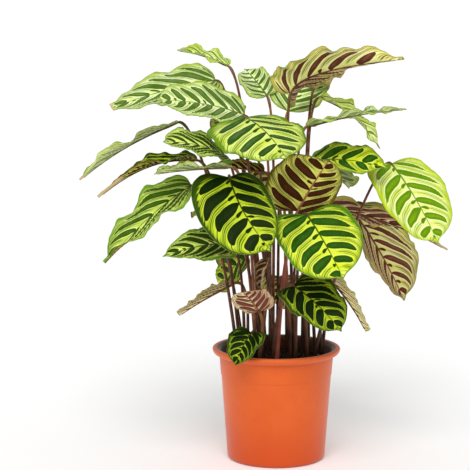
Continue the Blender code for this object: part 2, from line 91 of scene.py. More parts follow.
# Leaves: name, shoot, neck, tip, facing (where the upper face looks),
# width, share of the length where the midrib bends, arch there, fold (degrees that each half rises
# from the midrib), height of the margin's waves, tone
LEAVES = (
    ("leaf_01_top_small", "back_left", (-64, 30, 521), (-131, 50, 540), (0, -0.2, 1),
     42, 0.5, 8, 15, 4, "pale"),
    ("leaf_02_upper_left_back", "back_left", (-80, 12, 503), (-213, -55, 472), (-0.1, -0.75, 0.65),
     72, 0.45, 12, 10, 4, "pale"),
    ("leaf_03_upper_left_front", "centre", (-42, -25, 460), (-155, -85, 484), (0.1, -0.6, 0.8),
     84, 0.5, 14, 8, 3, "pale"),
    ("leaf_04_top_back", "back", (-12, 64, 479), (-42, 118, 512), (0, -0.8, 0.6),
     46, 0.5, 8, 5, 4, "pale"),
    ("leaf_05_top_right", "middle", (17, 0, 486), (161, -40, 533), (-0.3, 0.58, 0.75),
     96, 0.1, 34, 12, 5, "bright"),
    ("leaf_06_top_middle_back", "back_right", (16, 58, 459), (52, 128, 516), (0, -0.7, 0.7),
     80, 0.5, 10, 10, 4, "pale"),
    ("leaf_07_right_drooping", "right_back", (59, 34, 479), (137, 20, 412), (0.55, -0.2, 0.75),
     56, 0.45, 20, 10, 5, "lime"),
    ("leaf_08_right_edge_on", "right_front", (38, -48, 448), (162, -80, 472), (0, 0.1, 1),
     68, 0.5, 8, 5, 6, "pale"),
    ("leaf_09_centre", "centre", (-42, -90, 463), (8, -166, 418), (0.25, -0.7, 0.7),
     122, 0.5, 16, -10, 3, "lime"),
    ("leaf_10_far_left_drooping", "left_back", (-130, 0, 449), (-256, -30, 376), (-0.45, 0.1, 0.9),
     58, 0.5, 14, 10, 5, "pale"),
    ("leaf_11_left_drooping", "left_front", (-103, -30, 402), (-230, -60, 357), (-0.35, -0.2, 0.9),
     54, 0.4, 32, 20, 4, "dark"),
    ("leaf_12_left_striped", "left_middle", (-68, -75, 413), (-144, -134, 436), (0.1, -0.5, 0.85),
     64, 0.5, 12, 8, 3, "bright"),
    ("leaf_13_left_edge_on", "left_middle", (-60, -82, 399), (-156, -120, 394), (0, 0.1, 1),
     54, 0.5, 4, 8, 4, "pale"),
    ("leaf_14_behind_front", "middle", (-18, -42, 388), (-82, -44, 396), (0, 0.4, 0.9),
     30, 0.5, 4, 35, 2, "dark"),
    ("leaf_15_front_dark", "left_middle", (-62, -95, 388), (-10, -160, 303), (0, -0.85, 0.5),
     95, 0.5, 18, 6, 2, "dark"),
    ("leaf_16_front_bright", "front_right", (36, -95, 340), (80, -145, 266), (0, -0.85, 0.5),
     102, 0.5, 16, 6, 3, "bright"),
    ("leaf_17_right_pale", "right_front", (149, -14, 396), (205, -74, 300), (0.2, -0.85, 0.5),
     90, 0.5, 18, 6, 3, "lime"),
    ("leaf_18_right_green", "right_front", (44, -14, 400), (139, -66, 396), (0, -0.6, 0.8),
     62, 0.5, 14, 8, 3, "bright"),
    ("leaf_19_upright_back_side", "front", (25, -60, 339), (64, -95, 410), (0, 0.9, 0.4),
     92, 0.5, 8, 5, 3, "dark"),
    ("leaf_20_low_right", "right", (106, 76, 322), (178, 88, 196), (0.3, 0.8, 0.5),
     84, 0.5, 16, 8, 4, "bright"),
    ("leaf_21_right_folded", "right", (57, 22, 337), (229, 30, 275), (-0.1, 0.5, 0.85),
     66, 0.5, 20, 10, 5, "dark"),
    ("leaf_22_left_wavy", "left_front", (-110, -60, 373), (-219, -110, 280), (-0.4, -0.45, 0.7),
     86, 0.4, 14, 12, 5, "bright"),
    ("leaf_23_left_lower", "left_front", (-62, -50, 296), (-146, -114, 289), (0, -0.8, 0.6),
     66, 0.5, 16, 8, 3, "bright"),
    ("leaf_24_between_stalks", "back_left", (-38, 32, 268), (-78, 72, 216), (-0.3, -0.7, 0.6),
     56, 0.5, 10, 8, 4, "lime"),
    ("leaf_25_low_rolled", "left_back", (-57, -7, 236), (-128, -22, 196), (-0.3, 0.5, 0.8),
     27, 0.5, 4, 40, 2, "dry"),
    ("leaf_26_low_small", "front_left", (-24, -78, 212), (-45, -128, 246), (0, 0.8, 0.6),
     54, 0.5, 6, 8, 2, "dry"),
    ("leaf_27_over_rim", "front_left", (-33, -66, 182), (-54, -93, 144), (-0.2, -0.6, 0.7),
     56, 0.5, 12, 8, 2, "dark"),
    ("leaf_28_low_right_dark", "front", (20, -76, 245), (79, -130, 196), (0.1, -0.7, 0.7),
     76, 0.5, 14, 10, 4, "dark"),
    ("leaf_29_low_right_rolled", "right", (70, 4, 242), (118, -14, 173), (0.5, 0.5, 0.6),
     30, 0.5, 8, 40, 2, "dry"),
    ("leaf_30_between_folded", "front_left", (-13, -62, 276), (-20, -78, 238), (-0.6, -0.6, 0.4),
     28, 0.5, 6, 35, 2, "dry"),
    ("leaf_31_back_top", "back", (-20, 68, 436), (-78, 152, 420), (-0.1, 0.3, 1),
     82, 0.5, 20, 8, 4, "bright"),
    ("leaf_32_back_right_top", "back_right", (34, 62, 390), (104, 148, 344), (0.5, 0.4, 0.8),
     84, 0.5, 22, 8, 4, "lime"),
    ("leaf_33_back_middle", "back", (4, 66, 370), (-8, 182, 308), (0.15, 0.4, 0.9),
     82, 0.45, 34, 8, 4, "dark"),
    ("leaf_34_back_left", "back_left", (-46, 54, 332), (-106, 136, 308), (-0.5, 0.1, 0.8),
     78, 0.5, 16, 8, 4, "bright"),
    ("leaf_35_back_right", "right_back", (58, 58, 330), (124, 146, 288), (0.2, 0.3, 0.9),
     80, 0.5, 24, 8, 4, "dark"),
    ("leaf_36_back_low_left", "back", (-24, 58, 290), (-62, 140, 224), (-0.5, 0.5, 0.7),
     72, 0.45, 24, 8, 4, "bright"),
    ("leaf_37_back_low_right", "back_right", (36, 60, 280), (84, 136, 238), (0.3, 0.3, 0.9),
     72, 0.5, 20, 8, 4, "bright"),
    ("leaf_38_back_low", "back", (8, 60, 234), (14, 142, 174), (0, 0.6, 0.8),
     64, 0.5, 20, 8, 4, "dark"),
    ("leaf_39_back_upper_left", "back_left", (-62, 62, 462), (-130, 150, 452), (0.1, 0.3, 1),
     78, 0.5, 24, 8, 4, "bright"),
    ("leaf_40_back_top_right", "right_back", (54, 62, 497), (120, 132, 520), (0, 0.1, 1),
     60, 0.5, 12, 8, 4, "lime"),
)

# What sets a leaf apart from a plain one, by its number:
# uneven: how much wider the left half is (seen from above, tip up), how much the blade narrows towards its
#   tip, how far the midrib bends to the left, and how far the base reaches back, left and right
# marks: how many blotches fit along the midrib, where the first falls on the right and on the left half, half
#   the width of a blotch (in spaces between blotches), and how dark it is; other leaves draw theirs
# rise: how steeply the side veins rise towards the tip
# hand: -1 where the left half carries the long narrow blotches that the right half of the others carries
# dry: how far the leaf has dried from its tip
# curl: by how many degrees the halves curl in towards the tip, and where the curling starts and is complete
# tip: half the width that the tip keeps
# frill: height of the margin's small frills, and how many fit along the blade
# flush and shade: how strongly the right and the left half take the flush colour, a real reddish flush on the
# under side and a darker green on the upper side that is painted shade
# looks: colours of the upper and the under side, where they aren't those of the leaf's tone
# thick: how much thicker the stalk is at its foot
PLAIN = dict(
    uneven=(0, 0.1, 0, 0.22, 0.22), rise=1, hand=1, dry=0, curl=(0, 0, 1), tip=0.9, frill=(0.7, 6),
    flush=(0, 0), thick=1,
)
TRAITS = {
    1: dict(uneven=(0, 0.25, 0, 0.1, 0.1), marks=(5.2, 0.3, 0.6, 0.2, 0), rise=2, curl=(70, 0.5, 1), tip=3,
        frill=(1.3, 3.5), looks=("lime", "pale")),
    2: dict(uneven=(0, 0.4, 0, 0.22, 0.22), marks=(5.4, 0.2, 0.7, 0.3, 0.1), rise=1.7, dry=0.02, tip=6,
        frill=(2.2, 5)),
    3: dict(uneven=(0, 0.2, 0, 0.22, 0.22), marks=(6.8, 0.1, 0.6, 0.32, 0.1)),
    4: dict(marks=(6, 0.4, 0.1, 0.28, 0.3)),
    5: dict(uneven=(0, 0.3, 0, 0.33, 0.33), marks=(5.6, 0.3, 0.1, 0.22, 0.2), rise=1.2, curl=(110, 0.6, 1),
        tip=4, frill=(4.6, 6.5), flush=(1, 0.05), looks=("bright", "rosy")),
    6: dict(uneven=(0, 0, 0, 0.05, 0.05), marks=(5.4, 0.5, 0.2, 0.22, 0)),
    7: dict(marks=(4.6, 0.5, 0.2, 0.14, 0), frill=(1.8, 6)),
    8: dict(uneven=(0, 0.35, 0, 0.1, 0.1), marks=(5, 0.5, 0.2, 0.28, 0), frill=(1.8, 4.5)),
    9: dict(uneven=(0.05, 0.05, 0, 0.36, 0.16), marks=(4.6, 0.35, 0, 0.23, 0.4), looks=("gold", "pale")),
    10: dict(uneven=(0, 0.5, 0, 0.1, 0.1), marks=(5, 0.1, 0.6, 0.28, 0.1), rise=1.6, dry=0.06,
        curl=(130, 0.4, 1), tip=3, frill=(1.5, 6)),
    11: dict(uneven=(0, 0.8, 0, 0.1, 0.1), rise=1.7, dry=0.22, curl=(170, 0.4, 0.75), tip=5, frill=(2, 6)),
    12: dict(marks=(6, 0.2, 0.5, 0.34, 1), rise=2.1, looks=("grass", "wine")),
    13: dict(rise=1.5, curl=(60, 0.3, 1)),
    14: dict(flush=(0.6, 0.6)),
    15: dict(uneven=(0.18, 0, 16, 0.36, 0.16), marks=(5.4, 0.5, 0.2, 0.34, 1)),
    16: dict(uneven=(0.04, 0, 0, 0.4, 0.08), marks=(5, 0.3, 0, 0.3, 0.3)),
    17: dict(uneven=(-0.02, 0, 0, 0.42, 0.08), marks=(5.2, 0.4, 0.2, 0.25, 0)),
    18: dict(marks=(4.2, 0.2, 0.4, 0.3, 0), hand=-1),
    19: dict(uneven=(0.2, 0, 0, 0.3, 0.12), marks=(5.4, 0.3, 0.1, 0.34, 0.3), flush=(0, 0.15), thick=1.7),
    20: dict(uneven=(0.3, 0.15, 0, 0.2, 0.2), marks=(6.2, 0.4, 0, 0.22, 0), rise=1.6, frill=(1.8, 7),
        flush=(0.6, 0.1), looks=("bright", "rosy")),
    21: dict(uneven=(0, 0.7, 0, 0.1, 0.1), marks=(6, 0.4, 0, 0.34, 0.8), dry=0.1, curl=(160, 0.55, 0.9),
        tip=3, frill=(2.4, 6), flush=(1, 1), looks=("dark", "rosy")),
    22: dict(uneven=(0.12, 0.45, 0, 0.2, 0.1), marks=(5.8, 0.2, 0.5, 0.3, 0.4), rise=1.8,
        curl=(110, 0.7, 1), tip=5, frill=(2.6, 4), flush=(0, 0.6), looks=("grass", "wine")),
    23: dict(uneven=(0, 0.5, 0, 0.2, 0.2), marks=(5, 0, 0.4, 0.36, 1), rise=1.9, curl=(70, 0.7, 1),
        looks=("grass", "wine")),
    24: dict(looks=("bright", "wine")),
    25: dict(uneven=(0, 0.3, 0, 0.1, 0.1), marks=(5, 0, 0.4, 0.2, 0.1), rise=2.2, curl=(110, 0, 0.5), tip=8,
        frill=(3, 5), looks=("dry", "straw")),
    26: dict(marks=(4.8, 0, 0, 0.36, 0.1), rise=1.2, flush=(0.8, 0)),
    27: dict(uneven=(0, 0.4, 0, 0.25, 0.25), marks=(5.4, 0.2, 0, 0.43, 1), rise=1.3, flush=(0.6, 0.6)),
    28: dict(uneven=(0, 0.15, 0, 0.25, 0.25), marks=(5.4, 0.4, 0.1, 0.41, 0.9), rise=1.4, frill=(1.6, 6),
        flush=(0.3, 0.3)),
    29: dict(uneven=(0, 0.3, 0, 0.1, 0.1), marks=(5, 0.2, 0.4, 0.1, 0), rise=2.2, curl=(110, 0.1, 0.5),
        tip=8, frill=(2, 5), looks=("bright", "straw")),
    30: dict(curl=(90, 0, 0.6)),
}


def screen(red, green, blue):
    """A colour given by its values on a screen, 0 to 255, as the linear values that shaders use."""
    out = []
    for value in (red, green, blue):
        share = value / 255
        out.append(share / 12.92 if share <= 0.04045 else ((share + 0.055) / 1.055) ** 2.4)
    return tuple(out)


# Colours of the two sides as screen values: rim is the thin outermost line. The last value is the share of
# the margin's colour in the zone inside the margin
# The flush zone is a real flush on the under sides, and on the upper sides a darker green that is painted
# shade
ZONES = ("ground", "edge", "blotch", "core", "margin", "veins", "flush", "rim")
UPPER_COLOURS = {
    "dark": ((182, 206, 30), (204, 222, 62), (8, 38, 0), (16, 52, 12), (26, 60, 8), (40, 72, 6),
        (50, 98, 12), (140, 168, 80), 0.5),
    "bright": ((212, 228, 36), (228, 238, 100), (24, 74, 0), (48, 98, 14), (64, 122, 10), (76, 116, 8),
        (120, 160, 30), (160, 190, 96), 0.55),
    "gold": ((206, 224, 86), (226, 240, 146), (40, 80, 10), (84, 118, 56), (96, 136, 14), (84, 116, 10),
        (170, 190, 60), (86, 120, 40), 0.5),
    "grass": ((222, 242, 98), (240, 250, 156), (50, 88, 0), (76, 112, 18), (112, 156, 36), (70, 106, 10),
        (116, 156, 36), (150, 190, 110), 0.3),
    "lime": ((222, 234, 114), (240, 248, 184), (88, 132, 0), (116, 156, 6), (182, 206, 16), (132, 164, 20),
        (190, 212, 90), (120, 158, 50), 0.8),
    "pale": ((220, 240, 142), (244, 252, 204), (72, 106, 24), (104, 132, 58), (160, 186, 50),
        (100, 130, 40), (190, 200, 90), (84, 112, 50), 0.45),
    "dry": ((232, 214, 160), (244, 232, 192), (108, 50, 40), (130, 70, 56), (178, 140, 90), (120, 66, 50),
        (206, 160, 130), (112, 66, 50), 0.4),
}
UNDER_COLOURS = {
    "wine": ((222, 224, 90), (230, 232, 126), (60, 28, 6), (92, 42, 24), (96, 82, 18), (64, 36, 6),
        (164, 108, 60), (90, 60, 30), 0.5),
    # Painted light: the rosy under side's pale ground and edge are brightened to stand in for light shining
    # through the leaf
    "rosy": ((248, 250, 140), (255, 253, 192), (102, 52, 36), (144, 90, 76), (184, 174, 76), (96, 50, 26),
        (220, 168, 136), (112, 80, 46), 0.4),
    "pale": ((234, 246, 160), (246, 252, 204), (140, 164, 100), (160, 180, 124), (190, 206, 90),
        (140, 160, 80), (196, 190, 120), (110, 120, 56), 0.4),
    "dry": ((244, 228, 168), (250, 240, 200), (112, 52, 40), (138, 78, 62), (216, 180, 134), (120, 66, 48),
        (214, 164, 138), (112, 66, 50), 0.3),
    "straw": ((240, 228, 158), (250, 242, 190), (104, 66, 30), (132, 94, 50), (178, 168, 80), (92, 52, 28),
        (200, 160, 110), (100, 70, 40), 0.3),
}
UNDER_OF_TONE = {"dark": "wine", "bright": "wine", "lime": "pale", "pale": "pale", "dry": "dry"}
DRIED = screen(204, 178, 132)


class PotSizes(bpy.types.PropertyGroup):
    """The turned pot."""

    height: FloatProperty(name="Height", description="Height of the pot", default=HEIGHT, unit="LENGTH")
    rim_radius: FloatProperty(
        name="Rim radius", description="Outer radius of the lip", default=RIM_RADIUS, unit="LENGTH"
    )
    wall: FloatProperty(name="Wall", description="Thickness of the plastic", default=0.0017, unit="LENGTH")
    sides: IntProperty(name="Sides", description="Steps round the pot", default=144, min=24)
    colour: FloatVectorProperty(
        name="Colour", description="Colour of the plastic", subtype="COLOR", default=screen(212, 86, 22)
    )


class SoilSizes(bpy.types.PropertyGroup):
    """The soil and its crumbs."""

    rings: IntProperty(name="Rings", description="Steps from the rim to the middle", default=26, min=6)
    crumbs: IntProperty(name="Crumbs", description="How many loose crumbs lie on top", default=620, min=0)
    crumb_size: FloatProperty(
        name="Crumb size", description="Radius of a middling crumb", default=0.0016, unit="LENGTH"
    )
    colour: FloatVectorProperty(
        name="Colour", description="Colour of the soil", subtype="COLOR", default=screen(46, 34, 28)
    )


class StalkSizes(bpy.types.PropertyGroup):
    """The leaf stalks and the shoots that they grow from."""

    steps: IntProperty(name="Steps", description="Steps along a stalk", default=30, min=8)
    sides: IntProperty(name="Sides", description="Steps round a stalk", default=10, min=6)
    foot_radius: FloatProperty(
        name="Foot radius", description="Radius of a stalk at the soil", default=0.0024, unit="LENGTH"
    )
    neck_radius: FloatProperty(
        name="Neck radius", description="Radius of a stalk under the blade", default=0.0016, unit="LENGTH"
    )
    colour: FloatVectorProperty(
        name="Colour", description="Main colour of the stalks", subtype="COLOR", default=screen(78, 38, 22)
    )


class BladeSizes(bpy.types.PropertyGroup):
    """The leaf blades."""

    steps: IntProperty(name="Steps", description="Steps from neck to tip", default=56, min=10)
    strips: IntProperty(name="Strips", description="Steps from margin to margin", default=28, min=4)
    thickness: FloatProperty(
        name="Thickness", description="Thickness of a blade", default=0.0006, unit="LENGTH"
    )
    relief: FloatProperty(
        name="Vein relief", description="Height of the swells between side veins", default=0.0007,
        unit="LENGTH",
    )


class StageSizes(bpy.types.PropertyGroup):
    """Camera, lights and floor."""

    lens: FloatProperty(name="Lens", description="Focal length in millimetres", default=140.7)
    key: FloatProperty(name="Key light", description="Strength of the main light", default=1.8)
    sky: FloatProperty(name="Sky", description="Strength of the light from all round", default=0.66)


class PlantSettings(bpy.types.PropertyGroup):
    """All that a user would change."""

    pot: PointerProperty(type=PotSizes)
    soil: PointerProperty(type=SoilSizes)
    stalks: PointerProperty(type=StalkSizes)
    blades: PointerProperty(type=BladeSizes)
    stage: PointerProperty(type=StageSizes)


# Shader nodes


class Value:
    """A socket that plain arithmetic works with: each step adds a node to the socket's tree."""

    def __init__(self, socket):
        self.socket = socket
        self.tree = socket.id_data

    def __add__(self, other):
        return maths("ADD", self, other)

    def __sub__(self, other):
        return maths("SUBTRACT", self, other)

    def __rsub__(self, other):
        return maths("SUBTRACT", other, self)

    def __mul__(self, other):
        return maths("MULTIPLY", self, other)

    def __truediv__(self, other):
        return maths("DIVIDE", self, other)

    def __pow__(self, other):
        return maths("POWER", self, other)

    def __abs__(self):
        return maths("ABSOLUTE", self)

    def scaled(self, factor, shift):
        """The value times a factor, plus a shift."""
        return maths("MULTIPLY_ADD", self, factor, shift)

    def eased(self, low, high, to_low=0.0, to_high=1.0):
        """The value eased from one range to another, held at its ends."""
        ends = (low, high, to_low, to_high)
        node = lay(self.tree, "ShaderNodeMapRange", self, *ends, interpolation_type="SMOOTHSTEP")
        return Value(node.outputs[0])


def feed(socket, value):
    """Links a value to an input, or sets a constant there."""
    if isinstance(value, Value):
        value.tree.links.new(value.socket, socket)
    elif value is not None:
        socket.default_value = value


def lay(tree, kind, *values, **settings):
    """Adds a node and feeds its inputs in their order."""
    made = tree.nodes.new(kind)
    for name, value in settings.items():
        setattr(made, name, value)
    for socket, value in zip(made.inputs, values):
        feed(socket, value)
    return made


def maths(operation, *values):
    tree = next(value.tree for value in values if isinstance(value, Value))
    return Value(lay(tree, "ShaderNodeMath", *values, operation=operation).outputs[0])


def split(value, kind="XYZ"):
    """The three parts of a vector or a colour."""
    return [Value(part) for part in lay(value.tree, "ShaderNodeSeparate" + kind, value).outputs]


def blend(share, below, above):
    """One colour laid over another, whole where the share is 1."""
    node = lay(share.tree, "ShaderNodeMix", data_type="RGBA")
    feed(node.inputs[0], share)
    for socket, colour in ((node.inputs[6], below), (node.inputs[7], above)):
        feed(socket, colour if isinstance(colour, Value) else (*colour, 1.0))
    return Value(node.outputs[2])


def layered(colour, *layers):
    for share, above in layers:
        colour = blend(share, colour, above)
    return colour


def noise_value(place, scale, detail=2.0, roughness=0.5):
    node = lay(place.tree, "ShaderNodeTexNoise", place)
    for label, value in (("Scale", scale), ("Detail", detail), ("Roughness", roughness)):
        node.inputs[label].default_value = value
    return Value(node.outputs["Fac"])


def object_place(tree):
    return Value(tree.nodes.new("ShaderNodeTexCoord").outputs["Object"])


def attribute(tree, name, output="Vector"):
    return Value(lay(tree, "ShaderNodeAttribute", attribute_name=name).outputs[output])


def own_map(tree, name):
    return Value(lay(tree, "ShaderNodeUVMap", uv_map=name).outputs[0])


def new_material(name):
    made = bpy.data.materials.new(name)
    made.use_nodes = True
    return made, made.node_tree


def dress(made, values, height=None, strength=0.0, distance=0.0):
    """Feeds a material's shader by the names of its inputs, and its normal from a height."""
    tree = made.node_tree
    inputs = tree.nodes["Principled BSDF"].inputs
    for label, value in values.items():
        feed(inputs[label], value)
    if height:
        relief = tree.nodes.new("ShaderNodeBump")
        for label, value in (("Strength", strength), ("Distance", distance), ("Height", height)):
            feed(relief.inputs[label], value)
        feed(inputs["Normal"], Value(relief.outputs[0]))
    return made


# Side veins leave the midrib at an acute angle and bend towards the tip, more so on the right half
VEIN_POWER = 1.2
VEIN_RISE_LEFT = 0.27
VEIN_RISE_RIGHT = 0.35
HOOK_POWER = 5.0
HOOK_RISE = 0.12
MOST_RISE = 0.85
FEWER_ON_LEFT = 0.6
FAN_SHARE = 1.1
WANDER = 0.2
WANDER_SCALE = 0.045

# Long blotches: their reach as a share of the half blade, what a draw adds to it and the tip takes from it;
# how far out they are fullest, their roundness and stem; how a draw and the way to the tip change their width
BLOTCH_REACH = 0.78
BLOTCH_REACH_DRAW = 0.1
BLOTCH_TIP_FADE = 0.28
BLOTCH_BIAS = 0.85
BLOTCH_BIAS_LEFT = 0.4
BLOTCH_ROUNDNESS = 3.4
BLOTCH_STEM = 0.26
BLOTCH_WIDTH_DRAW = 0.05
BLOTCH_WIDTH_AT_NECK = 1.05
BLOTCH_WIDTH_TO_TIP = -0.3
LAST_BLOTCH = 0.93

# Short blotches: their reach and what a draw adds to it, their half width, and how rare they are
SHORT_REACH = 0.12
SHORT_REACH_DRAW = 0.14
SHORT_POWER = 0.6
SHORT_ROUNDNESS = 4.0
SHORT_WIDTH = 0.16
SHORT_RARITY = 0.8
SHORT_RARITY_LEFT = -0.4

# Fine lines: where they run beside a vein, how many fit in a space at the margin, and how they wobble
LINE_BESIDE = 0.385
LINES_PER_SPACE = 4.0
LINE_WOBBLE = 0.7
LINE_WOBBLE_SCALE = 0.07

# The margin's band in millimetres: its least width, more on dark leaves, more by a draw, and its teeth
BAND_WIDTH = 2.0
BAND_WIDTH_DARK = 1.8
BAND_DRAW = 1.4
BAND_TEETH = 0.8

MIDRIB_NARROWING = 1.1
FINE_RIDGES = 58.0
RIDGE_SHARE = 1.5

# Factors that keep the draws of the halves and of the leaves apart
HALF_KEY = 31.0
LEAF_KEY = 77.0
SHORT_HALF_KEY = 53.0
SHORT_LEAF_KEY = 19.0


def own_draw(number):
    """Three values between 0 and 1 that stay the same for the same number."""
    node = lay(number.tree, "ShaderNodeTexWhiteNoise", None, number, noise_dimensions="1D")
    return split(Value(node.outputs["Color"]), "Color")


def rounded(part, power):
    """1 over most of a form's length, falling to 0 in a round end where part is 1."""
    return maths("SQRT", 1.0 - part**power)


def vein_chart(entry):
    """Where a point lies among the side veins."""
    chart = split(entry["Map"])
    pattern = split(entry["Pattern"])
    across = chart[0].scaled(2.0, -1.0)
    far = abs(across)
    left = maths("GREATER_THAN", across, 0.0)
    rise = left.scaled(VEIN_RISE_LEFT - VEIN_RISE_RIGHT, VEIN_RISE_RIGHT) * entry["Steepness"]
    bend = (far**VEIN_POWER).scaled(rise, far**HOOK_POWER * HOOK_RISE)
    bend = maths("MINIMUM", bend, MOST_RISE)
    past = chart[1] - bend
    ahead = maths("MAXIMUM", past, 0.0)
    closing = (bend * ahead).scaled(-4.0, 1.0)
    closing = maths("SQRT", maths("MAXIMUM", closing, 0.0)) + 1.0
    root = maths("MINIMUM", past, 0.0).scaled(FAN_SHARE, ahead * 2.0 / closing)
    wander = noise_value(entry["Spot"], WANDER_SCALE, 1.0).scaled(WANDER, -WANDER / 2)
    start = left.scaled(pattern[2] - pattern[1], pattern[1])
    count = left.scaled(-FEWER_ON_LEFT, pattern[0])
    place = root.scaled(count, start) + wander
    cell = maths("ROUND", place)
    return SimpleNamespace(
        far=far, left=left, along=chart[1], place=place, off=abs(place - cell), pattern=pattern,
        drawn=own_draw(left.scaled(HALF_KEY, pattern[1].scaled(LEAF_KEY, cell))),
        cell_root=maths("MAXIMUM", (cell - start) / count, 0.0),
    )


def long_blotch(at, width):
    """How deep a point lies inside the long blotch on its side vein, and how far that blotch reaches."""
    reach = at.drawn[0].scaled(BLOTCH_REACH_DRAW, BLOTCH_REACH) * (1.0 - at.cell_root**3.0 * BLOTCH_TIP_FADE)
    part = maths("MINIMUM", at.far / reach, 1.0)
    lengthwise = (part ** at.left.scaled(BLOTCH_BIAS_LEFT, BLOTCH_BIAS)).scaled(2.0, -1.0)
    form = maths("MAXIMUM", rounded(abs(lengthwise), BLOTCH_ROUNDNESS), (1.0 - part) * BLOTCH_STEM)
    wide = at.drawn[1].scaled(BLOTCH_WIDTH_DRAW, width)
    wide = wide * at.cell_root.scaled(BLOTCH_WIDTH_TO_TIP, BLOTCH_WIDTH_AT_NECK)
    return form * wide - at.off, reach


def short_blotch(at):
    """Short blotches near the midrib in some of the spaces, more of them on the left half."""
    number = at.pattern[2].scaled(SHORT_LEAF_KEY, maths("FLOOR", at.place))
    drawn = own_draw(at.left.scaled(SHORT_HALF_KEY, number))
    part = maths("MINIMUM", at.far / drawn[0].scaled(SHORT_REACH_DRAW, SHORT_REACH), 1.0)
    width = part**SHORT_POWER * rounded(part, SHORT_ROUNDNESS)
    inside = width * SHORT_WIDTH - (0.5 - at.off)
    there = maths("GREATER_THAN", drawn[1], at.left.scaled(SHORT_RARITY_LEFT, SHORT_RARITY))
    return inside.eased(-0.01, 0.025) * (there * part.eased(0.98, 1.0, 1.0, 0.0))


VECTORS = ("Map", "Spot", "Pattern", "Style")
MASKS = ("Blotch", "Middle", "Pale", "Veins", "Outer", "Margin", "Rim", "Midrib", "Swell")


def peacock_group():
    """Masks of a peacock plant's leaf: blotches along the side veins, pale edges, lines, margin, midrib."""
    found = bpy.data.node_groups.get("peacock_markings")
    if found:
        return found
    tree = bpy.data.node_groups.new("peacock_markings", "ShaderNodeTree")
    for label in VECTORS:
        tree.interface.new_socket(label, in_out="INPUT", socket_type="NodeSocketVector")
    tree.interface.new_socket("Steepness", in_out="INPUT", socket_type="NodeSocketFloat")
    for label in MASKS:
        tree.interface.new_socket(label, in_out="OUTPUT", socket_type="NodeSocketFloat")
    entry = {socket.name: Value(socket) for socket in tree.nodes.new("NodeGroupInput").outputs}
    spot = split(entry["Spot"])
    style = split(entry["Style"])
    at = vein_chart(entry)
    inside, reach = long_blotch(at, style[0])
    long = inside.eased(-0.012, 0.03) * maths("LESS_THAN", at.cell_root, LAST_BLOTCH)
    blotch = maths("MAXIMUM", long, short_blotch(at))
    # Dark lines: past each blotch, in the middle of each space, and several towards the margin
    line = at.off.eased(0.02, 0.06, 1.0, 0.0) * (at.far - reach).eased(-0.05, 0.0)
    between = (0.5 - at.off).eased(0.016, 0.06, 0.95, 0.0) * at.far.eased(0.1, 0.3)
    beside = abs(at.off - LINE_BESIDE).eased(0.01, 0.045, 0.8, 0.0) * at.far.eased(0.2, 0.45)
    wobble = noise_value(entry["Spot"], LINE_WOBBLE_SCALE, 0.0).scaled(LINE_WOBBLE, -LINE_WOBBLE / 2)
    comb = maths("COSINE", at.place.scaled(LINES_PER_SPACE, wobble) * math.tau)
    fringe = comb.eased(0.5, 1.0) * spot[2].eased(2.0, 14.0, 0.85, 0.0)
    # The margin's band has teeth that run on as the fringe, and narrows towards the tip
    band = at.drawn[2].scaled(BAND_DRAW, style[1].scaled(BAND_WIDTH_DARK, BAND_WIDTH))
    band = comb.scaled(BAND_TEETH, band) * at.along.eased(0.1, 0.95, 1.5, 0.45)
    rib = at.along.scaled(MIDRIB_NARROWING, abs(spot[0]))
    ridge = maths("COSINE", at.off * math.tau)
    results = {
        "Blotch": blotch,
        "Middle": inside.eased(0.07, 0.22),
        "Pale": inside.eased(-0.11, -0.02) * (1.0 - blotch),
        "Veins": maths("MAXIMUM", maths("MAXIMUM", line, between), maths("MAXIMUM", beside, fringe)),
        "Outer": spot[2].eased(1.0, 9.0, 1.0, 0.0),
        "Margin": (band - spot[2]).eased(-1.0, 1.0),
        "Rim": spot[2].eased(0.25, 0.75, 1.0, 0.0),
        "Midrib": rib.eased(0.9, 1.9, 1.0, 0.0),
        "Swell": ridge.scaled(RIDGE_SHARE, maths("SINE", at.place * FINE_RIDGES)),
    }
    leave = tree.nodes.new("NodeGroupOutput").inputs
    for label, value in results.items():
        feed(leave[label], value)
    return tree


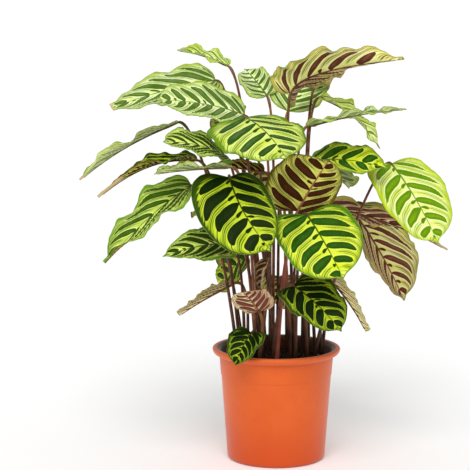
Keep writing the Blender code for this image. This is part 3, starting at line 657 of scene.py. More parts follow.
def peacock_material(name, row, roughness, gloss, bump):
    """A leaf face. The markings follow the blade's own map, so both faces carry them in the same places."""
    found = bpy.data.materials.get(name)
    if found:
        return found
    made, tree = new_material(name)
    *shown, outer = row
    colours = {zone: screen(*colour) for zone, colour in zip(ZONES, shown)}
    marks = tree.nodes.new("ShaderNodeGroup")
    marks.node_tree = peacock_group()
    source = {label: attribute(tree, label.lower()) for label in VECTORS[1:]}
    source["Map"] = own_map(tree, "leaf_map")
    source["Steepness"] = attribute(tree, "steepness", "Fac")
    for label, value in source.items():
        feed(marks.inputs[label], value)
    _, depth, dry = split(source["Style"])
    mask = {socket.name: Value(socket) for socket in marks.outputs}
    place = object_place(tree)
    cloud = noise_value(place, 60.0, 3.0)
    grain = noise_value(place, 900.0)
    # Painted shade on the upper side: the flush darkens the ground of leaves that lie in shade; on the under
    # side it is the leaf's real flush
    flush = attribute(tree, "flushed", "Fac") * cloud.eased(0.3, 0.6, 0.5, 1.0)
    deep = tuple(value * 0.4 for value in colours["blotch"])
    inner = blend(mask["Middle"] * cloud.eased(0.3, 0.65), colours["blotch"], colours["core"])
    inner = blend(depth * 0.7, inner, deep)
    colour = layered(
        colours["ground"],
        (cloud.eased(0.35, 0.7) * 0.6, colours["edge"]),
        (mask["Outer"] * outer, colours["margin"]),
        (flush, colours["flush"]),
        (mask["Pale"] * 0.7, colours["edge"]),
        (mask["Veins"] * 0.92, colours["veins"]),
        (mask["Margin"] * 0.9, colours["margin"]),
        (mask["Blotch"], inner),
        (mask["Midrib"] * 0.92, inner),
        (mask["Rim"] * 0.6, colours["rim"]),
        (cloud.scaled(0.5, dry - 0.75).eased(-0.1, 0.1) * 0.9, DRIED),
    )
    ribbed = mask["Swell"].scaled(0.03, grain.eased(0.3, 0.7, 0.93, 1.07))
    shade = lay(tree, "ShaderNodeHueSaturation", 0.5, 1.0, ribbed, 1.0, colour)
    values = {
        "Base Color": Value(shade.outputs[0]),
        "Roughness": grain.eased(0.3, 0.7, roughness - 0.05, roughness + 0.07),
        "Specular IOR Level": gloss,
        "Specular Tint": (0.9, 1.0, 0.4, 1.0),
    }
    return dress(made, values, mask["Swell"].scaled(bump, grain * 0.12), 0.5, 0.0002)


# A stalk whose draw is this high is redder than the others
RUDDY = 1.6


def stalk_material(colour):
    """Purple-brown stalks, streaked along their length with pale streaks that are partly painted highlights,
    greener at the blade, and with painted shade near the soil.
    """
    made, tree = new_material("stalk_skin")
    tone = attribute(tree, "tone")
    drawn, green, _ = split(tone)
    stretched = lay(tree, "ShaderNodeMapping", own_map(tree, "stalk_map"))
    stretched.inputs["Scale"].default_value = (9.0, 2.2, 1.0)
    shifted = lay(tree, "ShaderNodeVectorMath", Value(stretched.outputs[0]), tone, operation="ADD")
    streak_and_highlight = noise_value(Value(shifted.outputs[0]), 3.0, 4.0, 0.6)
    place = object_place(tree)
    ruddy = drawn.eased(1.0, RUDDY)
    # Painted shade: the stalks darken towards the soil, where they crowd under the leaves, less so on the
    # ruddy stalk
    low = split(place)[2].eased(0.135, 0.235, 0.85, 0.0) * ruddy.scaled(-0.5, 1.0)
    base = layered(
        colour,
        (drawn.eased(0.15, 0.9), screen(158, 92, 58)),
        # Pale streaks along the stalk, partly a painted highlight of light on the stalks' edges
        (streak_and_highlight.eased(0.4, 0.7, 0.0, 0.75), screen(178, 116, 84)),
        (noise_value(place, 70.0).eased(0.42, 0.72, 0.0, 0.8), screen(40, 20, 12)),
        (ruddy * 0.65, screen(168, 84, 74)),
        (green, screen(128, 132, 60)),
        (low, screen(18, 9, 3)),
    )
    values = {
        "Base Color": base,
        "Roughness": streak_and_highlight.eased(0.2, 0.8, 0.35, 0.55),
        "Specular IOR Level": 0.35,
        "Specular Tint": (1.0, 0.75, 0.55, 1.0),
    }
    return dress(made, values, streak_and_highlight, 0.4, 0.0003)


def plastic_material(pot):
    """Terracotta-coloured plastic, a little mottled and deeper below, with speckled painted shade inside the
    mouth.
    """
    made, tree = new_material("terracotta_plastic")
    place = object_place(tree)
    cloud = noise_value(place, 14.0, 4.0, 0.55)
    fleck = noise_value(place, 160.0, 3.0, 0.6)
    height = split(place)[2]
    slope = (BODY_TOP_RADIUS - FOOT_RADIUS) / (HEIGHT - FOOT_ROUNDING)
    wall = height.scaled(slope, FOOT_RADIUS - slope * FOOT_ROUNDING)
    flat = lay(tree, "ShaderNodeVectorMath", place, (1.0, 1.0, 0.0), operation="MULTIPLY")
    radius = lay(tree, "ShaderNodeVectorMath", Value(flat.outputs[0]), operation="LENGTH")
    radius = Value(radius.outputs["Value"])
    # Painted shade: the inner wall and the inside of the lip are darkened, with speckles, where shade falls
    # in the mouth
    inside = (wall - radius).eased(0.0004, 0.002) * height.eased(0.12, 0.126)
    mouth = HEIGHT - MOUTH_FLARE_DEPTH
    lip = ((RIM_RADIUS - RIM_TOP_WIDTH) - radius).eased(0.0, 0.0012)
    lip = lip * height.eased(mouth - 0.0015, mouth - 0.0005)
    painted_inner_shade = maths("MAXIMUM", inside, lip) * fleck.eased(0.25, 0.6, 1.0, 0.85)
    base = layered(
        pot.colour,
        (cloud.eased(0.3, 0.7), screen(219, 94, 30)),
        (fleck.eased(0.55, 0.8, 0.0, 0.35), screen(196, 74, 20)),
        (height.eased(0.0, 0.09, 0.7, 0.0), screen(192, 60, 0)),
        (painted_inner_shade, screen(26, 15, 9)),
    )
    values = {
        "Base Color": base,
        "Roughness": fleck.scaled(0.12, cloud.scaled(0.16, 0.36)),
        "Specular Tint": (1.0, 0.8, 0.6, 1.0),
        "Sheen Weight": 0.22,
        "Sheen Roughness": 0.4,
    }
    return dress(made, values, cloud.scaled(2.0, noise_value(place, 1400.0)), 0.25, 0.0002)


def soil_material(name, colour, pale_share):
    """Damp potting soil with lighter fibres and a few pale grains."""
    made, tree = new_material(name)
    place = object_place(tree)
    lump = noise_value(place, 130.0, 5.0, 0.65)
    grain = noise_value(place, 900.0, 3.0, 0.6)
    cells = lay(tree, "ShaderNodeTexVoronoi", place)
    cells.inputs["Scale"].default_value = 420.0
    drawn = split(Value(cells.outputs["Color"]), "Color")[0]
    base = layered(
        screen(22, 15, 12),
        (lump.eased(0.3, 0.7), colour),
        (grain.eased(0.45, 0.8, 0.0, 0.6), screen(92, 66, 48)),
        (drawn.eased(1.0 - pale_share, 1.02 - pale_share), screen(150, 128, 98)),
    )
    values = {"Base Color": base, "Roughness": lump.eased(0.2, 0.8, 0.7, 1.0), "Specular IOR Level": 0.15}
    return dress(made, values, grain.scaled(0.5, lump), 0.8, 0.0012)


# Meshes

MERGE_DISTANCE = 1e-7


def add_piece(name, form, materials, replaced=None, smooth=True, sharp_angle=None):
    """Makes a bmesh a piece of the part that rides on its body."""
    mesh = bpy.data.meshes.new(name)
    form.to_mesh(mesh)
    form.free()
    for face in mesh.polygons:
        face.use_smooth = smooth
    if sharp_angle:
        mesh.set_sharp_from_angle(angle=math.radians(sharp_angle))
    for item in materials:
        mesh.materials.append(item)
    piece = bpy.data.objects.new(name, mesh)
    bpy.context.scene.collection.objects.link(piece)
    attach(piece, BODY)
    if replaced:
        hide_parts(replaced)
    return piece


def apply_modifiers(piece):
    bpy.context.view_layer.update()
    graph = bpy.context.evaluated_depsgraph_get()
    mesh = bpy.data.meshes.new_from_object(piece.evaluated_get(graph), depsgraph=graph)
    piece.modifiers.clear()
    piece.data = mesh


def arc(centre, radius, first, last, steps):
    """Points of an arc between two angles in degrees, as (radius, height)."""
    points = []
    for step in range(steps + 1):
        turn = math.radians(first + (last - first) * step / steps)
        points.append((centre[0] + radius * math.cos(turn), centre[1] + radius * math.sin(turn)))
    return points


def wall_radius(height, pot):
    """Outer radius of the pot's body at a height, above the step."""
    share = (height - FOOT_ROUNDING) / (pot.height - FOOT_ROUNDING)
    return FOOT_RADIUS + share * (BODY_TOP_RADIUS - FOOT_RADIUS)


def inner_radius(height, pot):
    return wall_radius(height, pot) - STEP_IN - pot.wall


BASE_RING = 0.03
BEND_STEPS = 8
ROLL_STEPS = 10


def pot_profile(pot):
    """The pot's half section from the inner floor round the rim to the underside, as (radius, height)."""
    top = pot.height
    rim = pot.rim_radius
    mouth = top - MOUTH_FLARE_DEPTH
    brim = rim - RIM_TOP_WIDTH
    roll_low = top - RIM_ROUNDING - RIM_ROLL_DEPTH
    roll_in = rim - wall_radius(roll_low, pot)
    inner_foot = inner_radius(FOOT_ROUNDING, pot)
    outer_foot = wall_radius(FOOT_ROUNDING, pot) - STEP_IN
    inside = FOOT_ROUNDING - pot.wall
    points = [(0.0, pot.wall), (BASE_RING, pot.wall)]
    points += arc((inner_foot - inside, pot.wall + inside), inside, -90, 0, BEND_STEPS)
    for step in range(BEND_STEPS + 1):
        turn = math.pi / 2 * (step / BEND_STEPS)
        flare = (brim - inner_radius(mouth, pot)) * (1 - math.cos(turn))
        points.append((inner_radius(mouth, pot) + flare, mouth + MOUTH_FLARE_DEPTH * math.sin(turn)))
    points += arc((rim - RIM_ROUNDING, top - RIM_ROUNDING), RIM_ROUNDING, 90, 0, BEND_STEPS)
    for step in range(1, ROLL_STEPS + 1):
        turn = math.pi / 2 * step / ROLL_STEPS
        radius = rim - roll_in * (1 - math.cos(turn))
        points.append((radius, top - RIM_ROUNDING - RIM_ROLL_DEPTH * math.sin(turn)))
    points.append((wall_radius(STEP_HEIGHT, pot), STEP_HEIGHT + STEP_SLOPE))
    points.append((wall_radius(STEP_HEIGHT, pot) - STEP_IN, STEP_HEIGHT))
    points += arc((outer_foot - FOOT_ROUNDING, FOOT_ROUNDING), FOOT_ROUNDING, 0, -90, ROLL_STEPS)
    points += [(BASE_RING, 0.0), (0.0, 0.0)]
    return points


def turned(form, points, sides):
    """Spins a half section round the upright axis into a closed shape."""
    chain = [form.verts.new((radius, 0, height)) for radius, height in points]
    edges = [form.edges.new(pair) for pair in zip(chain, chain[1:])]
    bmesh.ops.spin(
        form, geom=chain + edges, axis=(0, 0, 1), cent=(0, 0, 0), angle=math.tau, steps=sides, use_merge=True
    )
    bmesh.ops.remove_doubles(form, verts=form.verts, dist=MERGE_DISTANCE)
    bmesh.ops.recalc_face_normals(form, faces=form.faces)


DRAIN_COUNT = 6
DRAIN_RADIUS = 0.0045
DRAIN_RING = 0.044
DRAIN_SIDES = 32


class PLANT_OT_turn_pot(bpy.types.Operator):
    """Turn the thin-walled pot and cut its drain holes"""

    bl_idname = "plant.turn_pot"
    bl_label = "Turn the pot"

    def execute(self, context):
        pot = context.scene.potted_plant.pot
        form = bmesh.new()
        turned(form, pot_profile(pot), pot.sides)
        piece = add_piece(
            "moulded_pot", form, [plastic_material(pot)], "pot", sharp_angle=40
        )
        cutters = bmesh.new()
        for index in range(DRAIN_COUNT):
            turn = math.tau * (index + 0.5) / DRAIN_COUNT
            place = Vector((DRAIN_RING * math.cos(turn), DRAIN_RING * math.sin(turn), 0))
            bmesh.ops.create_cone(
                cutters, cap_ends=True, segments=DRAIN_SIDES, radius1=DRAIN_RADIUS, radius2=DRAIN_RADIUS,
                depth=4 * pot.wall, matrix=Matrix.Translation(place),
            )
        mesh = bpy.data.meshes.new("drain_cutters")
        cutters.to_mesh(mesh)
        cutters.free()
        tool = bpy.data.objects.new("drain_cutters", mesh)
        context.scene.collection.objects.link(tool)
        cut = piece.modifiers.new("drains", "BOOLEAN")
        cut.operation = "DIFFERENCE"
        cut.solver = "EXACT"
        cut.object = tool
        apply_modifiers(piece)
        bpy.data.objects.remove(tool, do_unlink=True)
        return {"FINISHED"}


SOIL_TOP = 0.132
SOIL_SIDES = 96
SOIL_CORNER = 0.008
SOIL_CORNER_CUT = 0.006
CLEARANCE = 0.0003
SOIL_SWELLS = ((0.0016, 35), (0.0008, 110), (0.0006, 320))
HEAP_HEIGHT = 0.0014
HEAP_WIDTH = 0.011
GOLDEN_TURN = math.radians(137.5)
CRUMB_INSET = 0.003
CRUMB_SPREAD = 0.004


def soil_height(x, y):
    """Height of the soil's uneven top, which heaps a little round the shoots."""
    place = Vector((x, y, 0))
    rise = sum(height * noise.noise(place * scale) for height, scale in SOIL_SWELLS)
    for shoot in SHOOTS.values():
        near = (place - Vector((*shoot, 0)) * MM).length
        rise += HEAP_HEIGHT * math.exp(-((near / HEAP_WIDTH) ** 2))
    return SOIL_TOP + rise


class PLANT_OT_fill_soil(bpy.types.Operator):
    """Fill the pot with soil and scatter loose crumbs over it"""

    bl_idname = "plant.fill_soil"
    bl_label = "Fill in the soil"

    def execute(self, context):
        pot = context.scene.potted_plant.pot
        soil = context.scene.potted_plant.soil
        self.plug(pot, soil)
        self.crumbs(pot, soil)
        return {"FINISHED"}

    def plug(self, pot, soil):
        low = pot.wall + CLEARANCE
        corner_radius = inner_radius(SOIL_CORNER, pot) - CLEARANCE
        brim = inner_radius(SOIL_TOP, pot) - CLEARANCE
        form = bmesh.new()
        bmesh.ops.create_cone(
            form, cap_ends=True, segments=SOIL_SIDES, radius1=corner_radius - SOIL_CORNER_CUT,
            radius2=corner_radius, depth=SOIL_CORNER - low,
            matrix=Matrix.Translation((0, 0, (SOIL_CORNER + low) / 2)),
        )
        cap = max(form.faces, key=lambda face: face.calc_center_median().z)
        top = bmesh.ops.extrude_discrete_faces(form, faces=[cap])["faces"]
        ring = top[0].verts[:]
        bmesh.ops.scale(form, verts=ring, vec=(brim / corner_radius, brim / corner_radius, 1))
        bmesh.ops.translate(form, verts=ring, vec=(0, 0, SOIL_TOP - SOIL_CORNER))
        for _ in range(soil.rings):
            bmesh.ops.inset_region(form, faces=top, thickness=brim / (soil.rings + 1), use_even_offset=True)
        bmesh.ops.recalc_face_normals(form, faces=form.faces)
        for vert in form.verts:
            if vert.co.z > SOIL_TOP - 0.001:
                vert.co.z = soil_height(vert.co.x, vert.co.y)
        add_piece("soil_plug", form, [soil_material("damp_soil", soil.colour, 0.02)], "soil")

    def crumbs(self, pot, soil):
        """Crumbs laid on a sunflower spiral, so that the draw is the same each time."""
        form = bmesh.new()
        brim = inner_radius(SOIL_TOP, pot) - CRUMB_INSET
        for number in range(soil.crumbs):
            turn = number * GOLDEN_TURN
            draw = noise.cell_vector(Vector((number + 0.5, 3.5, 7.5)))
            reach = brim * math.sqrt((number + 0.5) / soil.crumbs)
            x = reach * math.cos(turn) + CRUMB_SPREAD * (draw.x - 0.5)
            y = reach * math.sin(turn) + CRUMB_SPREAD * (draw.y - 0.5)
            size = soil.crumb_size * (0.35 + 1.3 * draw.z ** 3)
            place = Vector((x, y, soil_height(x, y) + 0.2 * size))
            made = bmesh.ops.create_icosphere(form, subdivisions=1, radius=size)["verts"]
            for vert in made:
                vert.co *= 1 + 0.5 * noise.noise(vert.co * 700 + Vector((number, 0, 0)))
            bmesh.ops.scale(form, verts=made, vec=(1 + 0.5 * draw.x, 0.8, 0.5 + 0.4 * draw.y))
            bmesh.ops.rotate(form, verts=made, cent=(0, 0, 0), matrix=Matrix.Rotation(turn, 3, "Z"))
            bmesh.ops.translate(form, verts=made, vec=place)
        crumb = soil_material("soil_crumb", soil.colour, 0.08)
        add_piece("soil_crumbs", form, [crumb], smooth=False)


# Driving values of the stalks, as in the part
SHOOT_RADIUS = 9.5
SHOOT_DEPTH = 16.0
SHOOT_RISE = 7.0
STALK_START = 8.0
STALK_STAGGER = 0.7
STALK_INSET = 1.8
STALK_LEAN = 0.34
STALK_SPREAD = 0.12
STALK_HOOK = 30.0
STALK_HOOK_SHARE = 0.4
FOOT_RADIUS_IN_PART = 2.5

# Finer forms of the stalks: knee under the blade, sheath at the foot, ringed shoot, and midrib
KNEE_LENGTH = 16.0
KNEE_SWELL = 1.35
SHEATH_LENGTH = 70.0
SHEATH_SWELL = 1.12
SHOOT_STEPS = 12
SHOOT_SIDES = 20
SHOULDER = 0.55
RING_DEPTH = 0.25
RIB_STEPS = 12
RIB_REACH = 0.96
RIB_SHARE = 0.85
RIB_TAPER = 0.8
RIB_SINK = 0.45
KNEE_GREEN = 0.25
RIB_GREEN = 0.3

# Driving values of the blades, as in the part
END_CROWDING = 0.5
NECK_HALF_WIDTH = 2.2
OUTLINE_POWER = 2.3
OUTLINE_SHIFT = 0.88
ROUND_SHARE = 0.96
POINT_WIDTH = 0.3
POINT_SHARE = 0.1
WAVES = 2.6
WAVE_TURN_PER_LEAF = 2.4
WAVE_TURN_OF_RIGHT_HALF = 1.9

# Finer forms of the blades, in millimetres
SWELL_START = 6
CRIMP_SCALE = 0.05
CRIMP_HEIGHT = 1.2
FRILL_TURN = 1.7
GROOVE_DEPTH = 0.3
GROOVE_WIDTH = 1.3
LEAST_ROLL = 0.001
FLATTER_IN_CURL = 0.8
FLUSH_AND_SHADE_EDGE = 0.2
SPOT_STEP = 9.0

# The markings at the margin keep to a leaf of this width, and grow or shrink with the leaf only so far
PLAIN_WIDTH = 90.0
MOST_ZOOM = 1.6


class Leaf:
    """One row of the table, with the curve of its midrib. Lengths are millimetres."""

    def __init__(self, row, number):
        self.name, self.shoot, neck, tip, facing = row[:5]
        self.width, share, arch, fold, self.wave, self.tone = row[5:]
        own = {**PLAIN, **TRAITS.get(number + 1, {})}
        self.skew, self.taper, sway, *self.lobes = own["uneven"]
        self.number = number
        self.neck = Vector(neck)
        self.tip = Vector(tip)
        self.fold = math.radians(fold)
        self.phase = number * WAVE_TURN_PER_LEAF
        chord = self.tip - self.neck
        along = chord.normalized()
        look = Vector(facing).normalized()
        self.look = (look - along * look.dot(along)).normalized()
        self.bend = self.neck + chord * share + self.look * arch + along.cross(self.look) * sway
        self.length = (self.bend - self.neck).length * 0.5 + chord.length * 0.5
        first = (number * 0.377) % 1.0
        second = (number * 0.618 + 0.3) % 1.0
        plain = (4.8 + 0.9 * first, first, second, 0.32 + 0.05 * second, 0.2 + 0.6 * first)
        *pattern, self.blotch_width, self.depth = own.get("marks", plain)
        self.pattern = Vector(pattern)
        self.steepness = own["rise"]
        self.hand = own["hand"]
        self.dry = own["dry"]
        self.curl = own["curl"]
        self.tip_width = own["tip"]
        self.frill, self.frills = own["frill"]
        self.flushed = own["flush"]
        self.looks = own.get("looks", (self.tone, UNDER_OF_TONE[self.tone]))
        self.thick = own["thick"]

    def midrib(self, along):
        """Place and direction of the midrib at a share of its length."""
        back = 1 - along
        place = self.neck * back * back + self.bend * 2 * back * along + self.tip * along * along
        way = (self.bend - self.neck) * back + (self.tip - self.bend) * along
        return place, way.normalized()

    def half_width(self, across, along):
        share = min(1.0, along**OUTLINE_SHIFT / ROUND_SHARE)
        swell = max(0.0, 1 - abs(2 * share - 1) ** OUTLINE_POWER) ** 0.5
        if along > 1 - POINT_SHARE:
            swell = max(swell, POINT_WIDTH * (1 - along) / POINT_SHARE)
        least = NECK_HALF_WIDTH * (1 - along) + self.tip_width * along
        side = 1 + math.copysign(self.skew, across)
        return max(least, self.width / 2 * swell * side * (1 - self.taper * along))

    def vein_place(self, across, along):
        """Which side vein passes here, counted from the neck, as the leaf's markings count them."""
        across *= self.hand
        rise = (VEIN_RISE_LEFT if across > 0 else VEIN_RISE_RIGHT) * self.steepness
        bend = min(MOST_RISE, rise * abs(across) ** VEIN_POWER + HOOK_RISE * abs(across) ** HOOK_POWER)
        ahead = max(along - bend, 0.0)
        root = 2 * ahead / (1 + math.sqrt(max(0.0, 1 - 4 * bend * ahead)))
        root += min(along - bend, 0.0) * FAN_SHARE
        start = self.pattern[2] if across > 0 else self.pattern[1]
        count = self.pattern[0] - (FEWER_ON_LEFT if across > 0 else 0.0)
        return root * count + start

    def point(self, across, along, relief):
        """A place on the blade, across from -1 to 1 and along from 0 at the neck to 1 at the tip."""
        place, way = self.midrib(along)
        side = way.cross(self.look).normalized()
        up = side.cross(way)
        half = self.half_width(across, along)
        reach = abs(across) * half
        degrees, start, full = self.curl
        curled = degrees / 180 * min(1.0, max(0.0, (along - start) / (full - start)))
        back = max(0.0, half - NECK_HALF_WIDTH) * across * across * (1 - along) ** 3
        place = place - way * (2 * self.lobes[0 if across > 0 else 1] * back)
        turn = math.tau * WAVES * along + self.phase + (WAVE_TURN_OF_RIGHT_HALF if across > 0 else 0.0)
        ends = math.sin(math.pi * along) ** 0.5 if 0 < along < 1 else 0.0
        ripple = self.wave * across * across * ends * math.sin(turn)
        swell = math.cos(math.tau * 2 * self.vein_place(across, along)) * relief
        swell *= min(1.0, reach / SWELL_START) * ends
        crimp = noise.noise(place * CRIMP_SCALE + Vector((across * 3, self.number, 0)))
        crimp = crimp * CRIMP_HEIGHT * abs(across) * ends
        flow = self.frills * along + 0.5 * noise.noise(Vector((along * 4, self.number, across)))
        crimp += self.frill * across**4 * ends * math.sin(math.tau * flow + FRILL_TURN * self.phase)
        groove = -GROOVE_DEPTH * math.exp(-((reach / GROOVE_WIDTH) ** 2)) * ends
        roll = max(LEAST_ROLL, math.pi * curled)
        out = half / roll * math.sin(roll * abs(across))
        rise = half / roll * (1 - math.cos(roll * abs(across)))
        fold = self.fold * (1 - curled)
        rise, out = out * math.sin(fold) + rise * math.cos(fold), out * math.cos(fold) - rise * math.sin(fold)
        rise += (ripple + crimp) * (1 - FLATTER_IN_CURL * curled) + swell + groove
        return place + side * math.copysign(out, across) + up * rise


def stalk_path(leaf, foot, steps):
    """Points of a leaf stalk from its foot in the shoot to the blade's neck, in millimetres."""
    end, way = leaf.midrib(0.0)
    length = (end - foot).length
    out = Vector((end.x - foot.x, end.y - foot.y, 0))
    lift = Vector((0, 0, length * STALK_LEAN)) + out * STALK_SPREAD
    hook = end - way * min(STALK_HOOK, length * STALK_HOOK_SHARE)
    path = []
    for step in range(steps + 1):
        ahead = step / steps
        back = 1 - ahead
        path.append(
            foot * back**3
            + (foot + lift) * 3 * back * back * ahead
            + hook * 3 * back * ahead * ahead
            + end * ahead**3
        )
    return path


def stalk_feet(place, leaves):
    """The leaves of one shoot with their stalks' feet, which share out the ring round the shoot's middle."""
    low = SOIL_TOP / MM - SHOOT_DEPTH + STALK_START
    ways = [math.atan2(leaf.neck.y - place[1], leaf.neck.x - place[0]) for leaf in leaves]
    middle = math.atan2(sum(math.sin(way) for way in ways), sum(math.cos(way) for way in ways))
    turns = [(way - middle + math.pi) % math.tau - math.pi for way in ways]
    ranks = sorted(range(len(leaves)), key=lambda number: turns[number])
    feet = []
    for number, leaf in enumerate(leaves):
        turn = middle + math.tau * (ranks.index(number) - (len(leaves) - 1) / 2) / len(leaves)
        ring = SHOOT_RADIUS - STALK_INSET - FOOT_RADIUS_IN_PART * leaf.thick
        place_on_ring = (place[0] + ring * math.cos(turn), place[1] + ring * math.sin(turn))
        feet.append((leaf, Vector((*place_on_ring, low + number * STALK_STAGGER))))
    return feet


def add_tube(form, path, radii, sides, uv, tone, tones):
    """A closed tube along a path, made from a grid that is wrapped round it. Lengths are metres."""
    steps = len(path) - 1
    made = bmesh.ops.create_grid(form, x_segments=steps, y_segments=sides, size=1.0)["verts"]
    frames = []
    side = None
    for index, place in enumerate(path):
        way = (path[min(index + 1, steps)] - path[max(index - 1, 0)]).normalized()
        if side is None:
            side = way.orthogonal().normalized()
        side = (side - way * side.dot(way)).normalized()
        frames.append((place, side, way.cross(side)))
    reached = [0.0]
    for first, second in zip(path, path[1:]):
        reached.append(reached[-1] + (second - first).length)
    spots = {}
    for vert in made:
        index = round((vert.co.x + 1) / 2 * steps)
        round_share = (vert.co.y + 1) / 2
        spots[vert] = (round_share, reached[index] * 20)
        place, side, other = frames[index]
        turn = math.tau * round_share
        vert.co = place + (side * math.cos(turn) + other * math.sin(turn)) * radii[index]
        vert[tone] = tones[index]
    faces = {face for vert in made for face in vert.link_faces}
    for face in faces:
        for loop in face.loops:
            loop[uv].uv = spots[loop.vert]
    bmesh.ops.remove_doubles(form, verts=made, dist=MERGE_DISTANCE)


class PLANT_OT_grow_stalks(bpy.types.Operator):
    """Grow each shoot's foot and its leaf stalks, which run on as the midribs under the blades"""

    bl_idname = "plant.grow_stalks"
    bl_label = "Grow the stalks"

    def execute(self, context):
        settings = context.scene.potted_plant.stalks
        skin = stalk_material(settings.colour)
        leaves = all_leaves()
        for name, place in SHOOTS.items():
            form = bmesh.new()
            uv = form.loops.layers.uv.new("stalk_map")
            tone = form.verts.layers.float_vector.new("tone")
            own = [leaf for leaf in leaves if leaf.shoot == name]
            for leaf, foot in stalk_feet(place, own):
                self.stalk(form, uv, tone, settings, leaf, foot)
            self.foot(form, uv, tone, place)
            bmesh.ops.holes_fill(form, edges=form.edges, sides=0)
            bmesh.ops.recalc_face_normals(form, faces=form.faces)
            add_piece("stalks_" + name, form, [skin], "shoot_" + name)
        return {"FINISHED"}

    def foot(self, form, uv, tone, place):
        """The short stem: a tapered post with a few sheath rings."""
        low = SOIL_TOP / MM - SHOOT_DEPTH
        high = SOIL_TOP / MM + SHOOT_RISE
        path = []
        radii = []
        for step in range(SHOOT_STEPS + 1):
            share = step / SHOOT_STEPS
            path.append(Vector((place[0], place[1], low + (high - low) * share)) * MM)
            narrowing = 0.5 * max(0.0, share - SHOULDER) / (1 - SHOULDER)
            radii.append((SHOOT_RADIUS * (1 - narrowing) - RING_DEPTH * (step % 3)) * MM)
        tones = [Vector((0.3, 0.15, place[0]))] * len(path)
        add_tube(form, path, radii, SHOOT_SIDES, uv, tone, tones)

    def stalk(self, form, uv, tone, settings, leaf, foot):
        path = stalk_path(leaf, foot, settings.steps)
        reached = [0.0]
        for first, second in zip(path, path[1:]):
            reached.append(reached[-1] + (second - first).length)
        whole = reached[-1]
        radii = []
        tones = []
        drawn = RUDDY if leaf.thick > 1 else noise.cell(Vector((leaf.number + 0.5, 0.5, 0.5)))
        for at in reached:
            share = at / whole
            radius = settings.foot_radius * leaf.thick * (1 - share) + settings.neck_radius * share
            radius *= 1 + (SHEATH_SWELL - 1) * max(0.0, 1 - at / SHEATH_LENGTH)
            knee = max(0.0, 1 - abs(whole - KNEE_LENGTH / 2 - at) / (KNEE_LENGTH / 2))
            radius *= 1 + (KNEE_SWELL - 1) * math.sqrt(knee)
            radii.append(radius)
            green = KNEE_GREEN * max(0.0, 1 - (whole - at) / (2 * KNEE_LENGTH))
            tones.append(Vector((drawn, green, leaf.number * 3.7)))
        for step in range(1, RIB_STEPS + 1):
            along = RIB_REACH * step / RIB_STEPS
            rib, way = leaf.midrib(along)
            side = way.cross(leaf.look).normalized()
            up = side.cross(way)
            radius = settings.neck_radius * (1 - RIB_TAPER * along) * RIB_SHARE
            path.append(rib - up * (radius / MM * 0.75 + RIB_SINK))
            radii.append(radius)
            green = KNEE_GREEN + RIB_GREEN * along if leaf.tone in ("pale", "lime") else 0.0
            tones.append(Vector((drawn, green, leaf.number * 3.7)))
        add_tube(form, [spot * MM for spot in path], radii, settings.sides, uv, tone, tones)


def all_leaves():
    return [Leaf(row, number) for number, row in enumerate(LEAVES)]


class PLANT_OT_grow_leaves(bpy.types.Operator):
    """Grow the leaf blades, each with its own markings"""

    bl_idname = "plant.grow_leaves"
    bl_label = "Grow the leaves"

    def execute(self, context):
        sizes = context.scene.potted_plant.blades
        for leaf in all_leaves():
            self.blade(leaf, sizes)
        return {"FINISHED"}

    def blade(self, leaf, sizes):
        form = bmesh.new()
        uv = form.loops.layers.uv.new("leaf_map")
        bmesh.ops.create_grid(form, x_segments=sizes.steps, y_segments=sizes.strips, size=1.0)
        spot, pattern, style = (form.verts.layers.float_vector.new(label.lower()) for label in VECTORS[1:])
        flushed, steepness = (form.verts.layers.float.new(label) for label in ("flushed", "steepness"))
        charts = {}
        for vert in form.verts:
            step = (vert.co.x + 1) / 2
            crowded = (1 - math.cos(math.pi * step)) / 2
            along = step + (crowded - step) * END_CROWDING
            across = vert.co.y
            charts[vert] = (leaf.hand * across / 2 + 0.5, along)
            half = leaf.half_width(across, along)
            edge = min((1 - abs(across)) * half, (1 - along) * leaf.length, along * leaf.length + 2)
            edge *= min(MOST_ZOOM, max(1 / MOST_ZOOM, PLAIN_WIDTH / leaf.width))
            vert[spot] = Vector((across * half, along * leaf.length + leaf.number * SPOT_STEP, edge))
            vert[pattern] = leaf.pattern
            dry = max(0.0, 1 - (1 - along) / (leaf.dry * 2)) if leaf.dry else 0.0
            vert[style] = Vector((leaf.blotch_width, leaf.depth, dry))
            side = min(1.0, max(0.0, across / FLUSH_AND_SHADE_EDGE + 0.5))
            vert[flushed] = leaf.flushed[0] * (1 - side) + leaf.flushed[1] * side
            vert[steepness] = leaf.steepness
            vert.co = leaf.point(across, along, sizes.relief / MM) * MM
        for face in form.faces:
            for loop in face.loops:
                loop[uv].uv = charts[loop.vert]
        bmesh.ops.reverse_faces(form, faces=form.faces)
        upper, under = leaf.looks
        faces = [
            peacock_material("leaf_upper_" + upper, UPPER_COLOURS[upper], 0.5, 0.14, 0.45),
            peacock_material("leaf_under_" + under, UNDER_COLOURS[under], 0.62, 0.1, 0.5),
        ]
        piece = add_piece("blade_" + leaf.name[5:], form, faces, leaf.name)
        shell = piece.modifiers.new("thickness", "SOLIDIFY")
        shell.thickness = sizes.thickness
        shell.offset = 0.0
        shell.material_offset = 1


CAMERA_PLACE = (-0.055, -2.4, 0.65)
CAMERA_AIM = (-0.055, 0.0, 0.3)
SENSOR_WIDTH = 36.0
KEY_PLACE = (-0.2, -2.2, 2.6)
KEY_AIM = (0, 0, 0.3)
KEY_ANGLE = 36
FLOOR_RADIUS = 60.0
FLOOR_SIDES = 96


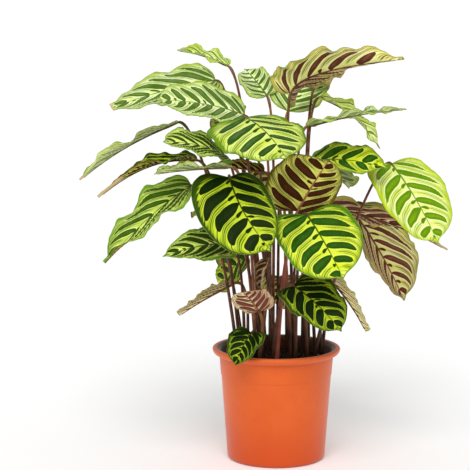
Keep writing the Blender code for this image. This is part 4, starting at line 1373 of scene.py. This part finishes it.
class PLANT_OT_set_stage(bpy.types.Operator):
    """Set the floor, the lights and the camera"""

    bl_idname = "plant.set_stage"
    bl_label = "Set the stage"

    def execute(self, context):
        stage = context.scene.potted_plant.stage
        self.floor()
        self.sky(context.scene, stage.sky)
        self.light("key_light", KEY_PLACE, stage.key)
        lens = bpy.data.cameras.new("camera")
        lens.lens = stage.lens
        lens.sensor_width = SENSOR_WIDTH
        camera = bpy.data.objects.new("camera", lens)
        context.scene.collection.objects.link(camera)
        self.aim(camera, CAMERA_PLACE, CAMERA_AIM)
        context.scene.camera = camera
        return {"FINISHED"}

    def aim(self, item, place, target):
        item.location = place
        item.rotation_euler = (Vector(target) - Vector(place)).to_track_quat("-Z", "Y").to_euler()

    def floor(self):
        form = bmesh.new()
        bmesh.ops.create_circle(form, cap_ends=True, segments=FLOOR_SIDES, radius=FLOOR_RADIUS)
        mesh = bpy.data.meshes.new("floor")
        form.to_mesh(mesh)
        form.free()
        made, tree = new_material("pale_floor")
        colour = blend(noise_value(object_place(tree), 3.0), (0.98, 0.98, 0.98), (0.97, 0.97, 0.97))
        dress(made, {"Base Color": colour, "Roughness": 0.9, "Specular IOR Level": 0.1})
        mesh.materials.append(made)
        floor = bpy.data.objects.new("floor", mesh)
        bpy.context.scene.collection.objects.link(floor)

    def sky(self, scene, strength):
        world = bpy.data.worlds.new("soft_sky")
        world.use_nodes = True
        tree = world.node_tree
        back = tree.nodes["Background"]
        back.inputs["Color"].default_value = (1.0, 1.0, 1.0, 1.0)
        seen = Value(tree.nodes.new("ShaderNodeLightPath").outputs["Is Camera Ray"])
        feed(back.inputs["Strength"], seen.scaled(1.0 - strength, strength))
        scene.world = world
        scene.view_settings.view_transform = "Standard"

    def light(self, name, place, strength):
        """A soft light from far off, so that the whole floor is as bright."""
        data = bpy.data.lights.new(name, "SUN")
        data.angle = math.radians(KEY_ANGLE)
        data.energy = strength
        lamp = bpy.data.objects.new(name, data)
        bpy.context.scene.collection.objects.link(lamp)
        self.aim(lamp, place, KEY_AIM)


STEPS = (
    PLANT_OT_turn_pot,
    PLANT_OT_fill_soil,
    PLANT_OT_grow_stalks,
    PLANT_OT_grow_leaves,
    PLANT_OT_set_stage,
)


class PLANT_PT_panel(bpy.types.Panel):
    """Lists the steps and their sizes"""

    bl_label = "Potted Peacock Plant"
    bl_idname = "PLANT_PT_panel"
    bl_space_type = "VIEW_3D"
    bl_region_type = "UI"
    bl_category = "Plant"

    def draw(self, context):
        settings = context.scene.potted_plant
        groups = (settings.pot, settings.soil, settings.stalks, settings.blades, settings.stage)
        for group, step in zip(groups, STEPS):
            box = self.layout.box()
            for name in group.__annotations__:
                box.prop(group, name)
            box.operator(step.bl_idname)


CLASSES = (PotSizes, SoilSizes, StalkSizes, BladeSizes, StageSizes, PlantSettings, *STEPS, PLANT_PT_panel)


def register():
    for item in CLASSES:
        bpy.utils.register_class(item)
    bpy.types.Scene.potted_plant = PointerProperty(type=PlantSettings)


def unregister():
    del bpy.types.Scene.potted_plant
    for item in reversed(CLASSES):
        bpy.utils.unregister_class(item)


def main():
    register()
    bpy.ops.plant.turn_pot()
    bpy.ops.plant.fill_soil()
    bpy.ops.plant.grow_stalks()
    bpy.ops.plant.grow_leaves()
    bpy.ops.plant.set_stage()
    bpy.context.view_layer.update()


if __name__ == "__main__":
    main()
